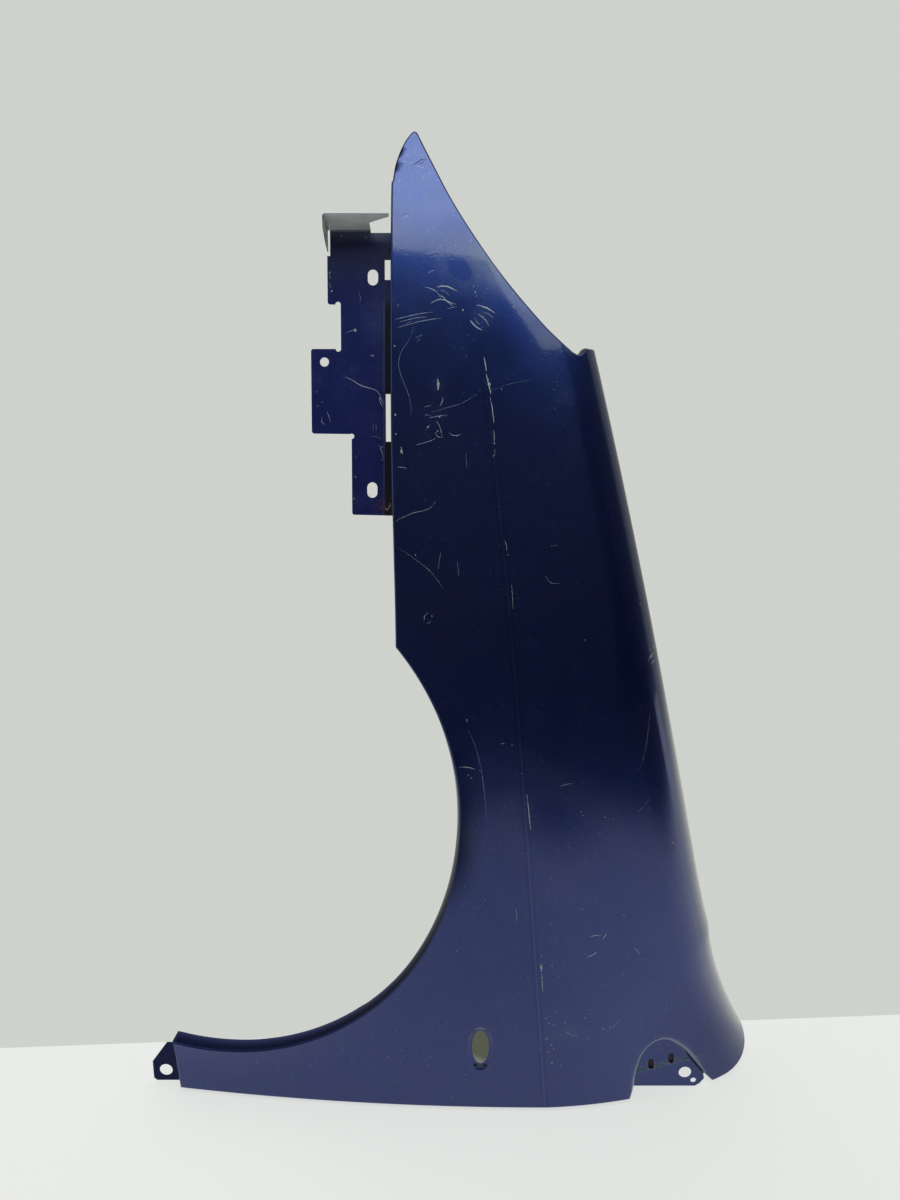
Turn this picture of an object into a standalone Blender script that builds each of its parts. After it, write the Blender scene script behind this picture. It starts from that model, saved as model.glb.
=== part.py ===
"""Left front fender of a passenger car, stood on its door edge.

+Z is forward in the car, +X is up in the car, and -Y is the painted, outer side.
Inside this file x is the height over the centre of the wheel arch, z is the distance
forward of the door edge and y is how far a point lies inboard of the crease at the door.
The skin is one pressing. Its panel is laid out flat in (p, z), where p runs across the
panel, is filled with triangles and is then bent to the body form; its flanges are swept
along the edge. The bumper bracket is a second pressing, lapped on the skin's flange.
"""

import math

import bmesh
import bpy
from mathutils import Vector
from mathutils.geometry import delaunay_2d_cdt

# Sheet
SKIN_SHEET = 0.0008
BRACKET_SHEET = 0.0012
LAP_GAP = 0.0003
FOLD = 0.0028
FOLD_STEPS = 2

# Mesh density
PANEL_STEP = 0.030
EDGE_STEP = 0.019
SHOULDER_STEPS = 7
HOLE_SIDES = 20

# Plan view: how far the crease lies inboard, along the length
PLAN_LENGTH = 1.22
PLAN_TAPER = 0.010
PLAN_SWEEP = 0.130
PLAN_POWER = 3.2

# Crease across the side of the panel
CREASE_AT_DOOR = 0.4373
CREASE_FALL = 0.0783
CREASE_DROP = 0.0152
CREASE_START = 0.985

# Section across the length
SILL_TUCK = 0.147
CREASE_ANGLE = 0.045
TUMBLEHOME = 0.78
SHOULDER_AT_DOOR = 0.7085
SHOULDER_FALL = 0.2285
SHOULDER_RADIUS = 0.100
SHOULDER_TAPER = 0.045
SHOULDER_BOW = 0.0036
SHOULDER_BOW_LENGTH = 0.930
SHOULDER_FLARE = 0.040
SHOULDER_FLARE_LENGTH = 0.200
SHOULDER_FLARE_POWER = 1.9
SHOULDER_KINK = 0.0045
SHOULDER_KINK_Z = 0.203
SHOULDER_KINK_WIDTH = 0.040
SHOULDER_KINK_ROUND = 0.006

# Wheel arch
SILL_DEPTH = 0.069
ARCH_HEIGHT = 0.3222
ARCH_HALF_LENGTH = 0.338
ARCH_Z = SILL_DEPTH + ARCH_HALF_LENGTH
ARCH_POWER_FRONT = 2.0
ARCH_POWER_REAR = 2.05
ARCH_FLARE = 0.0035
ARCH_FLARE_WIDTH = 0.042
ARCH_LIP = 0.0203
ARCH_LIP_NARROW = 0.0105
LIP_STEP = 0.0025
LIP_STEP_X = 0.203

# Door edge, sill end and hood edge
SILL_END = -0.0563
SILL_END_SLOPE = -0.0050
DOOR_FLANGE = 0.012
CORNER_DIP = 0.004
HOOD_CORNER_Z = 0.021
HOOD_CORNER_POWER = 1.2
HOOD_FRONT = 0.9715
GUTTER_DEPTH = 0.011
HOOD_FLANGE = 0.026
HOOD_FLANGE_REAR = 0.045
HOOD_FLANGE_FRONT = 0.935
HOOD_BOLT_RADIUS = 0.0045
HOOD_BOLTS = 5

# Front edges
TIP_X = 0.2685
TIP_Z = 1.2130
TIP_RADIUS = 0.0042
BUMPER_EDGE = ((0.2572, 1.2050), (0.2478, 1.1827), (0.2434, 1.1596), (0.2414, 1.1300),
               (0.2412, 0.880), (0.2435, 0.742))
BUMPER_EDGE_END = 0.2458
HEADLIGHT_EDGE = ((0.4538, 0.9669), (0.4387, 0.9792), (0.4152, 1.0016), (0.3758, 1.0463),
                  (0.3424, 1.0911), (0.3132, 1.1365), (0.2887, 1.1825))
HOOD_NOTCH = (0.4620, 0.9625)
BUMPER_FLANGE = 0.014
HEADLIGHT_FLANGE = 0.009

# Side lamp hole in its oval dish
LAMP_X = 0.3496
LAMP_Z = 0.0900
LAMP_HALF_WIDTH = 0.0110
LAMP_HALF_LENGTH = 0.0247
LAMP_DISH_EDGE = 0.0080
LAMP_DISH_DEPTH = 0.0035

# Pillar mounting recess, behind a notch in the door edge
RECESS_RIM = ((0.5508, 0.0000), (0.5560, 0.0178), (0.5606, 0.0442), (0.5680, 0.0650),
              (0.5802, 0.0762), (0.5943, 0.0788), (0.6091, 0.0720), (0.6292, 0.0529),
              (0.6455, 0.0296), (0.6600, 0.0100))
RECESS_END = 0.6720
RECESS_Y = 0.0450
RECESS_FOLD = 0.0065
RECESS_JOGGLE = 0.0025
RECESS_STEP_Z = 0.0130
RECESS_STEP_RISE = 0.30
RECESS_TAB_BOTTOM = -0.0040
PILLAR_BOLT = (0.6300, 0.0175)
PILLAR_BOLT_RADIUS = 0.0085
PILLAR_PILOT = (0.6420, 0.0050)
PILLAR_PILOT_RADIUS = 0.0038
RECESS_SLOTS = ((0.5835, 0.0295), (0.6105, 0.0385))
RECESS_SLOT_HALF_WIDTH = 0.0036
RECESS_SLOT_HALF_LENGTH = 0.0068

# Sill tab
SILL_TAB_SET_IN = 0.012
SILL_TAB_REACH = 0.0395
SILL_TAB_TOP = 0.0580
SILL_TAB_SHOULDER = 0.0280
SILL_TAB_BOTTOM = -0.0020
SILL_TAB_TOP_REACH = 0.0180
SILL_BOLT_Z = 0.0145
SILL_BOLT_IN = 0.0175
SILL_BOLT_RADIUS = 0.0088

# Bumper bracket
BRACKET_DEPTH_LOW = 0.0429
BRACKET_DEPTH_TOP = 0.0295
BRACKET_AHEAD_OF_ARCH = 0.0290
BRACKET_LEG = 0.0974
BRACKET_TAB = 0.0991
BRACKET_NECK = 0.0516
BRACKET_UPPER = 0.0822
BRACKET_BOTTOM = ARCH_Z + ARCH_HALF_LENGTH + BRACKET_AHEAD_OF_ARCH
BRACKET_LEG_TOP = BRACKET_BOTTOM + BRACKET_LEG
BRACKET_TAB_TOP = BRACKET_LEG_TOP + BRACKET_TAB
BRACKET_NECK_TOP = BRACKET_TAB_TOP + BRACKET_NECK
BRACKET_TOP = BRACKET_NECK_TOP + BRACKET_UPPER
BRACKET_LEG_X = 0.1914
BRACKET_TAB_X = 0.1435
BRACKET_NECK_X = 0.1795
BRACKET_UPPER_X = 0.1640
BRACKET_RELIEF = 0.0032
BRACKET_CORNER = 0.0030
TOP_SLOT_IN = 0.0511
LOW_SLOT_IN = 0.0306
BRACKET_SLOTS = ((0.2182, BRACKET_TOP - TOP_SLOT_IN), (0.2160, BRACKET_BOTTOM + LOW_SLOT_IN))
BRACKET_SLOT_HALF_WIDTH = 0.0062
BRACKET_SLOT_HALF_LENGTH = 0.0092
BRACKET_HOLE_IN = 0.0152
BRACKET_HOLE = (0.1595, BRACKET_TAB_TOP - BRACKET_HOLE_IN)
BRACKET_HOLE_RADIUS = 0.0054
BRACKET_FOLD = 0.0022
LOW_WINDOW_IN = 0.0879
LOW_WINDOW_LENGTH = 0.0560
TOP_WINDOW_IN = 0.0540
TOP_WINDOW_LENGTH = 0.0230
WEB_WINDOWS = ((BRACKET_BOTTOM + LOW_WINDOW_IN, BRACKET_BOTTOM + LOW_WINDOW_IN + LOW_WINDOW_LENGTH),
               (BRACKET_TOP - TOP_WINDOW_IN, BRACKET_TOP - TOP_WINDOW_IN + TOP_WINDOW_LENGTH))
WEB_WINDOW_DEPTH = 0.0085
WEB_LAP = 0.0045
END_FLANGE_REACH = 0.040
END_FLANGE_RISE = 0.0115
END_FLANGE_ROOT = 0.0520
SIDE_FLANGE_DROP = 0.0265


def smooth_step(value):
    value = min(max(value, 0.0), 1.0)
    return value * value * (3.0 - 2.0 * value)


def plan_y(z):
    """How far the crease lies inboard at z."""
    share = max(z, 0.0) / PLAN_LENGTH
    return PLAN_TAPER * share + PLAN_SWEEP * share ** PLAN_POWER


def crease_x(z):
    return CREASE_AT_DOOR - CREASE_FALL * z - CREASE_DROP * max(z, 0.0) ** 4


def shoulder_x(z):
    """Height of the highest point of the section at z."""
    flare = max(1.0 - max(z, 0.0) / SHOULDER_FLARE_LENGTH, 0.0)
    share = max(z, 0.0) / SHOULDER_BOW_LENGTH
    bow = 4.0 * SHOULDER_BOW * share * (1.0 - share)
    away = math.hypot(z - SHOULDER_KINK_Z, SHOULDER_KINK_ROUND) - SHOULDER_KINK_ROUND
    kink = SHOULDER_KINK * math.exp(-away / SHOULDER_KINK_WIDTH)
    return (SHOULDER_AT_DOOR - SHOULDER_FALL * z + bow + kink
            + SHOULDER_FLARE * flare ** SHOULDER_FLARE_POWER)


def shoulder_arc(z):
    """Start height, start slope angle, start y and radius of the shoulder's arc at z."""
    radius = SHOULDER_RADIUS - SHOULDER_TAPER * z
    top, crease = shoulder_x(z), crease_x(z)
    across = top - crease - radius
    for _ in range(12):
        angle = math.atan(CREASE_ANGLE + 2.0 * TUMBLEHOME * across)
        across = top - crease - radius * (1.0 - math.sin(angle))
    y = plan_y(z) + CREASE_ANGLE * across + TUMBLEHOME * across * across
    return crease + across, angle, y, radius


def hood_edge_p(z):
    start, angle, _, radius = shoulder_arc(z)
    return start + radius * (math.pi / 2.0 - angle)


def p_of_x(x, z):
    """The flat coordinate p of a point of the panel at height x."""
    start, angle, _, radius = shoulder_arc(z)
    if x <= start:
        return x
    turn = math.asin(min(1.0 - (shoulder_x(z) - x) / radius, 1.0))
    return start + radius * (turn - angle)


def arch_distance(x, z):
    """Roughly how far a point lies outside the wheel arch."""
    reach = math.hypot(x / ARCH_HEIGHT, (z - ARCH_Z) / ARCH_HALF_LENGTH)
    return (reach - 1.0) * ARCH_HEIGHT


def lamp_dish(x, z):
    """Depth of the dish round the side lamp."""
    across = math.hypot((x - LAMP_X) / LAMP_HALF_WIDTH, (z - LAMP_Z) / LAMP_HALF_LENGTH)
    wide = math.hypot((x - LAMP_X) / (LAMP_HALF_WIDTH + LAMP_DISH_EDGE),
                      (z - LAMP_Z) / (LAMP_HALF_LENGTH + LAMP_DISH_EDGE))
    if wide >= 1.0:
        return 0.0
    if across <= 1.0:
        return LAMP_DISH_DEPTH
    return LAMP_DISH_DEPTH * smooth_step((1.0 - wide) / (1.0 - wide + 0.55 * (across - 1.0)))


def panel_point(p, z):
    """The body form: a point of the panel's outer face."""
    start, angle, start_y, radius = shoulder_arc(z)
    if p > start:
        turn = angle + (p - start) / radius
        x = start + radius * (math.sin(turn) - math.sin(angle))
        y = start_y + radius * (math.cos(angle) - math.cos(turn))
        return Vector((x, y, z))
    across = p - crease_x(z)
    y = plan_y(z)
    if across > 0.0:
        step = CREASE_ANGLE * smooth_step((CREASE_START + 0.05 - z) / 0.10)
        y += CREASE_ANGLE * across + TUMBLEHOME * across * across
        y += (step - CREASE_ANGLE) * across * math.exp(-across / 0.03)
    else:
        y += SILL_TUCK * across * across
    near = arch_distance(p, z) / ARCH_FLARE_WIDTH
    if near < 1.0:
        y -= ARCH_FLARE * (1.0 - near) ** 2
    return Vector((p, y + lamp_dish(p, z), z))


def panel_frame(p, z):
    """Point, unit tangents across and along, and the inboard normal."""
    small = 0.0005
    across = (panel_point(p + small, z) - panel_point(p - small, z)).normalized()
    along = (panel_point(p, z + small) - panel_point(p, z - small)).normalized()
    inboard = along.cross(across).normalized()
    return panel_point(p, z), across, along, inboard


def spline(points, step):
    """Points at even steps on a smooth curve through the given ones, ends included."""
    ends = [2.0 * Vector(points[0]) - Vector(points[1])]
    ends += [Vector(point) for point in points]
    ends.append(2.0 * Vector(points[-1]) - Vector(points[-2]))
    fine = []
    for a, b, c, d in zip(ends, ends[1:], ends[2:], ends[3:]):
        for i in range(16):
            t = i / 16.0
            fine.append(0.5 * (2.0 * b + (c - a) * t + (2.0 * a - 5.0 * b + 4.0 * c - d) * t * t
                               + (3.0 * b - a - 3.0 * c + d) * t ** 3))
    fine.append(ends[-2])
    return even_steps(fine, step)


def even_steps(points, step):
    """The polyline resampled to equal steps of about the given length, ends kept."""
    points = [Vector(point) for point in points]
    lengths = [0.0]
    for a, b in zip(points, points[1:]):
        lengths.append(lengths[-1] + (b - a).length)
    count = max(1, round(lengths[-1] / step))
    result = [points[0]]
    spot = 1
    for i in range(1, count):
        want = lengths[-1] * i / count
        while lengths[spot] < want:
            spot += 1
        share = (want - lengths[spot - 1]) / (lengths[spot] - lengths[spot - 1])
        result.append(points[spot - 1].lerp(points[spot], share))
    result.append(points[-1])
    return result


def arc(centre, radii, start, end, count):
    """Points on an ellipse's arc, angles in degrees."""
    points = []
    for i in range(count + 1):
        angle = math.radians(start + (end - start) * i / count)
        points.append(Vector((centre[0] + radii[0] * math.cos(angle),
                              centre[1] + radii[1] * math.sin(angle))))
    return points


def obround(centre, half_width, half_length, sides):
    """A slot along z with round ends."""
    straight = half_length - half_width
    upper = arc((centre[0], centre[1] + straight), (half_width, half_width), 0, 180, sides // 2)
    lower = arc((centre[0], centre[1] - straight), (half_width, half_width), 180, 360, sides // 2)
    return upper + lower


def inside(point, loop):
    """Whether a flat point lies inside a closed loop."""
    hit = False
    for a, b in zip(loop, loop[1:] + loop[:1]):
        if (a[1] > point[1]) != (b[1] > point[1]):
            if point[0] < a[0] + (point[1] - a[1]) / (b[1] - a[1]) * (b[0] - a[0]):
                hit = not hit
    return hit


def edge_distance(point, loop):
    """How far a flat point lies from a closed loop."""
    best = 1.0
    for a, b in zip(loop, loop[1:] + loop[:1]):
        side = b - a
        share = max(0.0, min(1.0, (point - a).dot(side) / max(side.length_squared, 1e-12)))
        best = min(best, (point - a - share * side).length)
    return best


class Sheet:
    """Triangles and quads of a bent sheet's outer face, with shared corners."""

    def __init__(self):
        self.points = []
        self.faces = []
        self.known = {}

    def corner(self, point):
        key = tuple(round(value, 6) for value in point)
        if key not in self.known:
            self.known[key] = len(self.points)
            self.points.append(Vector(point))
        return self.known[key]

    def strip(self, first, second, closed=False):
        """Quads between two rows of corners."""
        pairs = list(zip(first, second))
        if closed:
            pairs.append(pairs[0])
        for (a, b), (c, d) in zip(pairs, pairs[1:]):
            ring = [corner for i, corner in enumerate((a, c, d, b))
                    if corner not in (a, c, d, b)[:i]]
            if len(ring) > 2:
                self.faces.append(ring)

    def fill(self, outline, corners, holes, lines, spots, place):
        """Triangles over a flat region; the outline's points are corners made before."""
        flat = list(outline)
        made = list(corners)
        edges = [(i, (i + 1) % len(outline)) for i in range(len(outline))]
        for hole in holes:
            first = len(flat)
            flat += hole
            edges += [(first + i, first + (i + 1) % len(hole)) for i in range(len(hole))]
        for line in lines:
            first = len(flat)
            flat += line
            edges += [(first + i, first + i + 1) for i in range(len(line) - 1)]
        flat += spots
        made += [None] * (len(flat) - len(made))
        found, _, triangles, origins, _, _ = delaunay_2d_cdt(flat, edges, [], 1, 1e-7)
        index = []
        for spot, origin in zip(found, origins):
            known = [made[i] for i in origin if made[i] is not None]
            source = flat[min(origin)] if origin else spot
            index.append(known[0] if known else self.corner(place(*source)))
        for triangle in triangles:
            centre = sum((found[i] for i in triangle), Vector((0.0, 0.0))) / 3.0
            if not any(inside(centre, hole) for hole in holes):
                face = [index[i] for i in triangle]
                if len(set(face)) == 3:
                    self.faces.append(face)

    def make(self, name, thickness, outward):
        """A mesh object of the sheet, thickened inwards from the face that looks outward."""
        mesh = bpy.data.meshes.new(name)
        mesh.from_pydata(self.points, [], self.faces)
        model = bmesh.new()
        model.from_mesh(mesh)
        loose = [vert for vert in model.verts if not vert.link_faces]
        bmesh.ops.delete(model, geom=loose, context="VERTS")
        bmesh.ops.recalc_face_normals(model, faces=model.faces)
        facing = sum((face.normal * face.calc_area() for face in model.faces), Vector())
        if facing.dot(outward) < 0.0:
            bmesh.ops.reverse_faces(model, faces=model.faces)
        model.to_mesh(mesh)
        model.free()
        thing = bpy.data.objects.new(name, mesh)
        bpy.context.scene.collection.objects.link(thing)
        thickness_modifier = thing.modifiers.new("sheet", "SOLIDIFY")
        thickness_modifier.thickness = thickness
        thickness_modifier.offset = -1.0
        thickness_modifier.use_even_offset = True
        thickness_modifier.use_quality_normals = True
        mesh.shade_smooth()
        mesh.set_sharp_from_angle(angle=math.radians(35.0))
        return thing


def arch_edge():
    """The wheel arch, from the bumper edge round to the sill end, a little fuller at the rear."""
    start = math.acos((BUMPER_EDGE_END / ARCH_HEIGHT) ** (ARCH_POWER_FRONT / 2.0))
    beyond = -(SILL_END + SILL_END_SLOPE) / ARCH_HEIGHT
    end = -math.pi + math.acos(beyond ** (ARCH_POWER_REAR / 2.0))
    points = []
    for i in range(201):
        angle = start + (end - start) * i / 200.0
        power = 2.0 / (ARCH_POWER_FRONT if angle > 0.0 else ARCH_POWER_REAR)
        across = math.copysign(abs(math.cos(angle)) ** power, math.cos(angle))
        along = math.copysign(abs(math.sin(angle)) ** power, math.sin(angle))
        points.append(Vector((ARCH_HEIGHT * across, ARCH_Z + ARCH_HALF_LENGTH * along)))
    return even_steps(points, EDGE_STEP)


def flat_edges():
    """The panel's outline in (p, z) as named stretches, each ending where the next begins."""
    arch = arch_edge()
    tip = arc((TIP_X, TIP_Z), (TIP_RADIUS, TIP_RADIUS), 28, 145, 4)
    corner_z = -CORNER_DIP
    rear = [(RECESS_END, corner_z)]
    for i in range(1, 13):
        share = i / 12.0
        z = corner_z + (HOOD_CORNER_Z - corner_z) * share ** HOOD_CORNER_POWER
        rear.append((RECESS_END + (hood_edge_p(z) - 0.004 - RECESS_END) * share, z))
    hood = []
    for i in range(41):
        z = HOOD_CORNER_Z + 0.006 + (HOOD_FRONT - HOOD_CORNER_Z - 0.006) * i / 40.0
        hood.append((hood_edge_p(z), z))
    notch_p = p_of_x(*HOOD_NOTCH)
    front_top = p_of_x(HOOD_NOTCH[0] + 0.0095, HOOD_FRONT)
    start = HEADLIGHT_EDGE[0]
    headlight = [(p_of_x(x, z), z) for x, z in HEADLIGHT_EDGE]
    return {
        "door": even_steps([(SILL_END, 0.0), RECESS_RIM[0]], EDGE_STEP),
        "recess": spline(RECESS_RIM, 0.6 * EDGE_STEP),
        "recess_end": even_steps([RECESS_RIM[-1], (RECESS_END, corner_z)], EDGE_STEP),
        "rear": even_steps(rear, 0.8 * EDGE_STEP),
        "hood_corner": even_steps([rear[-1], hood[0]], EDGE_STEP),
        "hood": even_steps(hood, 1.2 * EDGE_STEP),
        "hood_front": even_steps([hood[-1], (front_top, HOOD_FRONT)], EDGE_STEP),
        "notch": even_steps([(front_top, HOOD_FRONT), (notch_p, HOOD_NOTCH[1]),
                             (p_of_x(*start), start[1])], 0.007),
        "headlight": spline(headlight + [tip[0]], EDGE_STEP),
        "tip": tip,
        "bumper": spline([tip[-1]] + list(BUMPER_EDGE) + [(BUMPER_EDGE_END, arch[0][1])],
                         EDGE_STEP),
        "arch": arch,
        "sill_end": even_steps([arch[-1], (SILL_END, 0.0)], 0.012),
    }


FLANGE_WIDTHS = {
    "door": DOOR_FLANGE, "recess": None, "recess_end": 0.004, "rear": 0.006,
    "hood_corner": 0.005, "hood": GUTTER_DEPTH, "hood_front": 0.005, "notch": 0.005,
    "headlight": HEADLIGHT_FLANGE, "tip": 0.005, "bumper": BUMPER_FLANGE, "arch": ARCH_LIP,
    "sill_end": SILL_TAB_SET_IN,
}


def mitre(before, point, after):
    """Outward direction at an outline point, long enough to keep both sides' distance."""
    first = (point - before).normalized()
    second = (after - point).normalized()
    first = Vector((first[1], -first[0]))
    second = Vector((second[1], -second[0]))
    return (first + second) / (1.0 + first.dot(second))


def fold_radii(names):
    """The fold's radius at each outline point: wider round the recess."""
    radii = [FOLD] * len(names)
    rim = [i for i, name in enumerate(names) if name == "recess"]
    for place, i in enumerate(rim):
        share = place / len(rim)
        radii[i] += (RECESS_FOLD - FOLD) * smooth_step(6.0 * min(share, 1.0 - share))
    return radii


def lip_width(x):
    """Width of the arch's lip behind the crown, narrower toward the sill, with one step."""
    narrow = smooth_step(4.0 * (1.0 - x / ARCH_HEIGHT))
    step = smooth_step((LIP_STEP_X - x) / 0.005)
    return ARCH_LIP + (ARCH_LIP_NARROW - ARCH_LIP) * narrow + LIP_STEP * step


def recess_y(x, z):
    """The recessed plate: a flat tab along the door edge, then a joggle, then the floor."""
    line = RECESS_STEP_Z + RECESS_STEP_RISE * (x - RECESS_RIM[0][0])
    return RECESS_Y + RECESS_JOGGLE * smooth_step((z - line) / 0.004)


def panel_holes():
    return [arc((LAMP_X, LAMP_Z), (LAMP_HALF_WIDTH, LAMP_HALF_LENGTH), 0,
                360.0 * (HOLE_SIDES - 1) / HOLE_SIDES, HOLE_SIDES - 1)]


def panel_lines():
    """Creases of the pressing that the triangles follow."""
    crease = [Vector((crease_x(z), z)) for z in
              [FOLD + 0.004 + (CREASE_START - FOLD) * i / 50.0 for i in range(51)]]
    rings = []
    for share in (0.5, 1.0, 1.35):
        ring = arc((LAMP_X, LAMP_Z), (LAMP_HALF_WIDTH + share * LAMP_DISH_EDGE,
                                      LAMP_HALF_LENGTH + share * LAMP_DISH_EDGE),
                   0, 360, HOLE_SIDES)
        rings.append(ring)
    return [crease] + rings


def panel_spots(outline, holes, lines):
    """Inner points: an even field on the side, and rows round the shoulder."""
    spots = []
    rows = int(1.25 / (0.866 * PANEL_STEP))
    keep_off = [point for line in lines for point in line]
    for row in range(rows):
        z = 0.866 * PANEL_STEP * row + 0.5 * PANEL_STEP
        start, angle, _, radius = shoulder_arc(z)
        columns = [-0.07 + PANEL_STEP * (column + 0.5 * (row % 2)) for column in range(40)]
        columns = [p for p in columns if p < start - 0.35 * PANEL_STEP]
        turn = math.pi / 2.0 - angle
        columns += [start + radius * turn * i / SHOULDER_STEPS for i in range(SHOULDER_STEPS)]
        for p in columns:
            spot = Vector((p, z))
            if not inside(spot, outline) or edge_distance(spot, outline) < 0.4 * PANEL_STEP:
                continue
            if min((spot - point).length for point in keep_off) < 0.42 * PANEL_STEP:
                continue
            if any(inside(spot, hole) for hole in holes):
                continue
            spots.append(spot)
    return spots


def build_skin():
    sheet = Sheet()
    edges = flat_edges()
    outline, names = [], []
    for name, points in edges.items():
        outline += points[:-1]
        names += [name] * (len(points) - 1)
    count = len(outline)
    reach = [mitre(outline[i - 1], outline[i], outline[(i + 1) % count]) for i in range(count)]
    folds = fold_radii(names)
    inner = [point - fold * side for point, fold, side in zip(outline, folds, reach)]
    base = []
    frames = []
    for point, side in zip(inner, reach):
        spot, across, along, inboard = panel_frame(*point)
        outward = across * side[0] + along * side[1]
        frames.append((spot, outward, inboard))
        base.append(sheet.corner(spot))
    holes, lines = panel_holes(), panel_lines()
    sheet.fill(inner, base, holes, lines, panel_spots(inner, holes, lines), panel_point)

    # The fold round the whole edge, then the flange behind it.
    rows = [base]
    for step in range(1, FOLD_STEPS + 1):
        turn = 0.5 * math.pi * step / FOLD_STEPS
        rows.append([sheet.corner(spot + outward * fold * math.sin(turn)
                                  + inboard * fold * (1.0 - math.cos(turn)))
                     for (spot, outward, inboard), fold in zip(frames, folds)])
    flange = []
    for i, (spot, outward, inboard) in enumerate(frames):
        width = FLANGE_WIDTHS[names[i]]
        if names[i] == "arch" and spot[2] < ARCH_Z:
            width = lip_width(spot[0])
        neighbour = FLANGE_WIDTHS[names[i - 1]]
        foot = spot + (outward + inboard) * folds[i]
        if width is None or (neighbour is None and names[i] == "recess_end"):
            width = max((recess_y(foot[0], foot[2]) - foot[1]) / inboard[1], 0.0015)
        elif neighbour is not None:
            width = 0.5 * (width + neighbour)
        flange.append(sheet.corner(foot + inboard * width))
    rows.append(flange)
    for first, second in zip(rows, rows[1:]):
        sheet.strip(first, second, closed=True)

    build_recess(sheet, names, flange)
    build_gutter(sheet, names, flange, frames)
    build_sill_tab(sheet, names, flange, frames)
    return sheet.make("fender_skin", SKIN_SHEET, Vector((0.0, -1.0, 0.0)))


def build_recess(sheet, names, flange):
    """The recessed plate that bolts to the door pillar, grown from the rim's wall."""
    rim = [i for i, name in enumerate(names) if name == "recess"]
    rim = rim[1:] + [rim[-1] + 1]
    corners = [flange[i] for i in rim]
    flat = [Vector((sheet.points[i][0], sheet.points[i][2])) for i in corners]
    left, right = flat[0], flat[-1]
    bottom = [Vector((right[0] - 0.006, RECESS_TAB_BOTTOM + 0.004)),
              Vector((right[0] - 0.012, RECESS_TAB_BOTTOM)),
              Vector((left[0] + 0.010, RECESS_TAB_BOTTOM)),
              Vector((left[0] + 0.004, RECESS_TAB_BOTTOM + 0.006))]

    def place(x, z):
        return Vector((x, recess_y(x, z), z))

    outline = flat + bottom
    corners = corners + [sheet.corner(place(*point)) for point in bottom]
    round_hole = HOLE_SIDES - 1
    end = 360.0 * round_hole / HOLE_SIDES
    holes = [arc(PILLAR_BOLT, (PILLAR_BOLT_RADIUS, PILLAR_BOLT_RADIUS), 0, end, round_hole),
             arc(PILLAR_PILOT, (PILLAR_PILOT_RADIUS, PILLAR_PILOT_RADIUS), 0, 330, 11)]
    holes += [obround(slot, RECESS_SLOT_HALF_WIDTH, RECESS_SLOT_HALF_LENGTH, 10)
              for slot in RECESS_SLOTS]
    lines = []
    for rise in (0.0, 0.002, 0.004):
        line = []
        for i in range(9):
            x = left[0] + 0.004 + (right[0] - left[0] - 0.008) * i / 8.0
            spot = Vector((x, RECESS_STEP_Z + rise + RECESS_STEP_RISE * (x - RECESS_RIM[0][0])))
            if inside(spot, outline) and edge_distance(spot, outline) > 0.002:
                line.append(spot)
        lines.append(line)
    sheet.fill(outline, corners, holes, lines, [], place)


def build_gutter(sheet, names, flange, frames):
    """The bolted flange along the hood edge, at the foot of the gutter's wall."""
    run = [i for i, name in enumerate(names) if name == "hood"
           and HOOD_FLANGE_REAR < frames[i][0][2] < HOOD_FLANGE_FRONT]
    root = [flange[i] for i in run]
    feet = []
    for i in run:
        foot = sheet.points[flange[i]]
        feet.append((foot, frames[i][1], frames[i][2]))
    mid = [sheet.corner(foot + outward * FOLD * 0.29 + inboard * FOLD * 0.71)
           for foot, outward, inboard in feet]
    turned = [sheet.corner(foot + outward * FOLD + inboard * FOLD)
              for foot, outward, inboard in feet]
    sheet.strip(root, mid)
    sheet.strip(mid, turned)
    length = [0.0]
    for a, b in zip(turned, turned[1:]):
        length.append(length[-1] + (sheet.points[b] - sheet.points[a]).length)

    def place(along, across):
        spot = 1
        while spot < len(length) - 1 and length[spot] < along:
            spot += 1
        share = (along - length[spot - 1]) / (length[spot] - length[spot - 1])
        start = sheet.points[turned[spot - 1]].lerp(sheet.points[turned[spot]], share)
        return start + feet[spot][1].lerp(feet[spot - 1][1], 1.0 - share).normalized() * across

    end = length[-1]
    outline = [Vector((value, 0.0)) for value in length]
    corners = list(turned)
    back = [Vector((end - 0.004, HOOD_FLANGE))]
    back += [Vector((end - 0.004 - (end - 0.008) * i / 30.0, HOOD_FLANGE)) for i in range(1, 31)]
    corners += [sheet.corner(place(*point)) for point in back]
    holes = []
    for i in range(HOOD_BOLTS):
        centre = (end * (i + 0.5) / HOOD_BOLTS, 0.55 * HOOD_FLANGE)
        holes.append(arc(centre, (HOOD_BOLT_RADIUS, HOOD_BOLT_RADIUS), 0, 330, 11))
    sheet.fill(outline + back, corners, holes, [], [], place)


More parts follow.
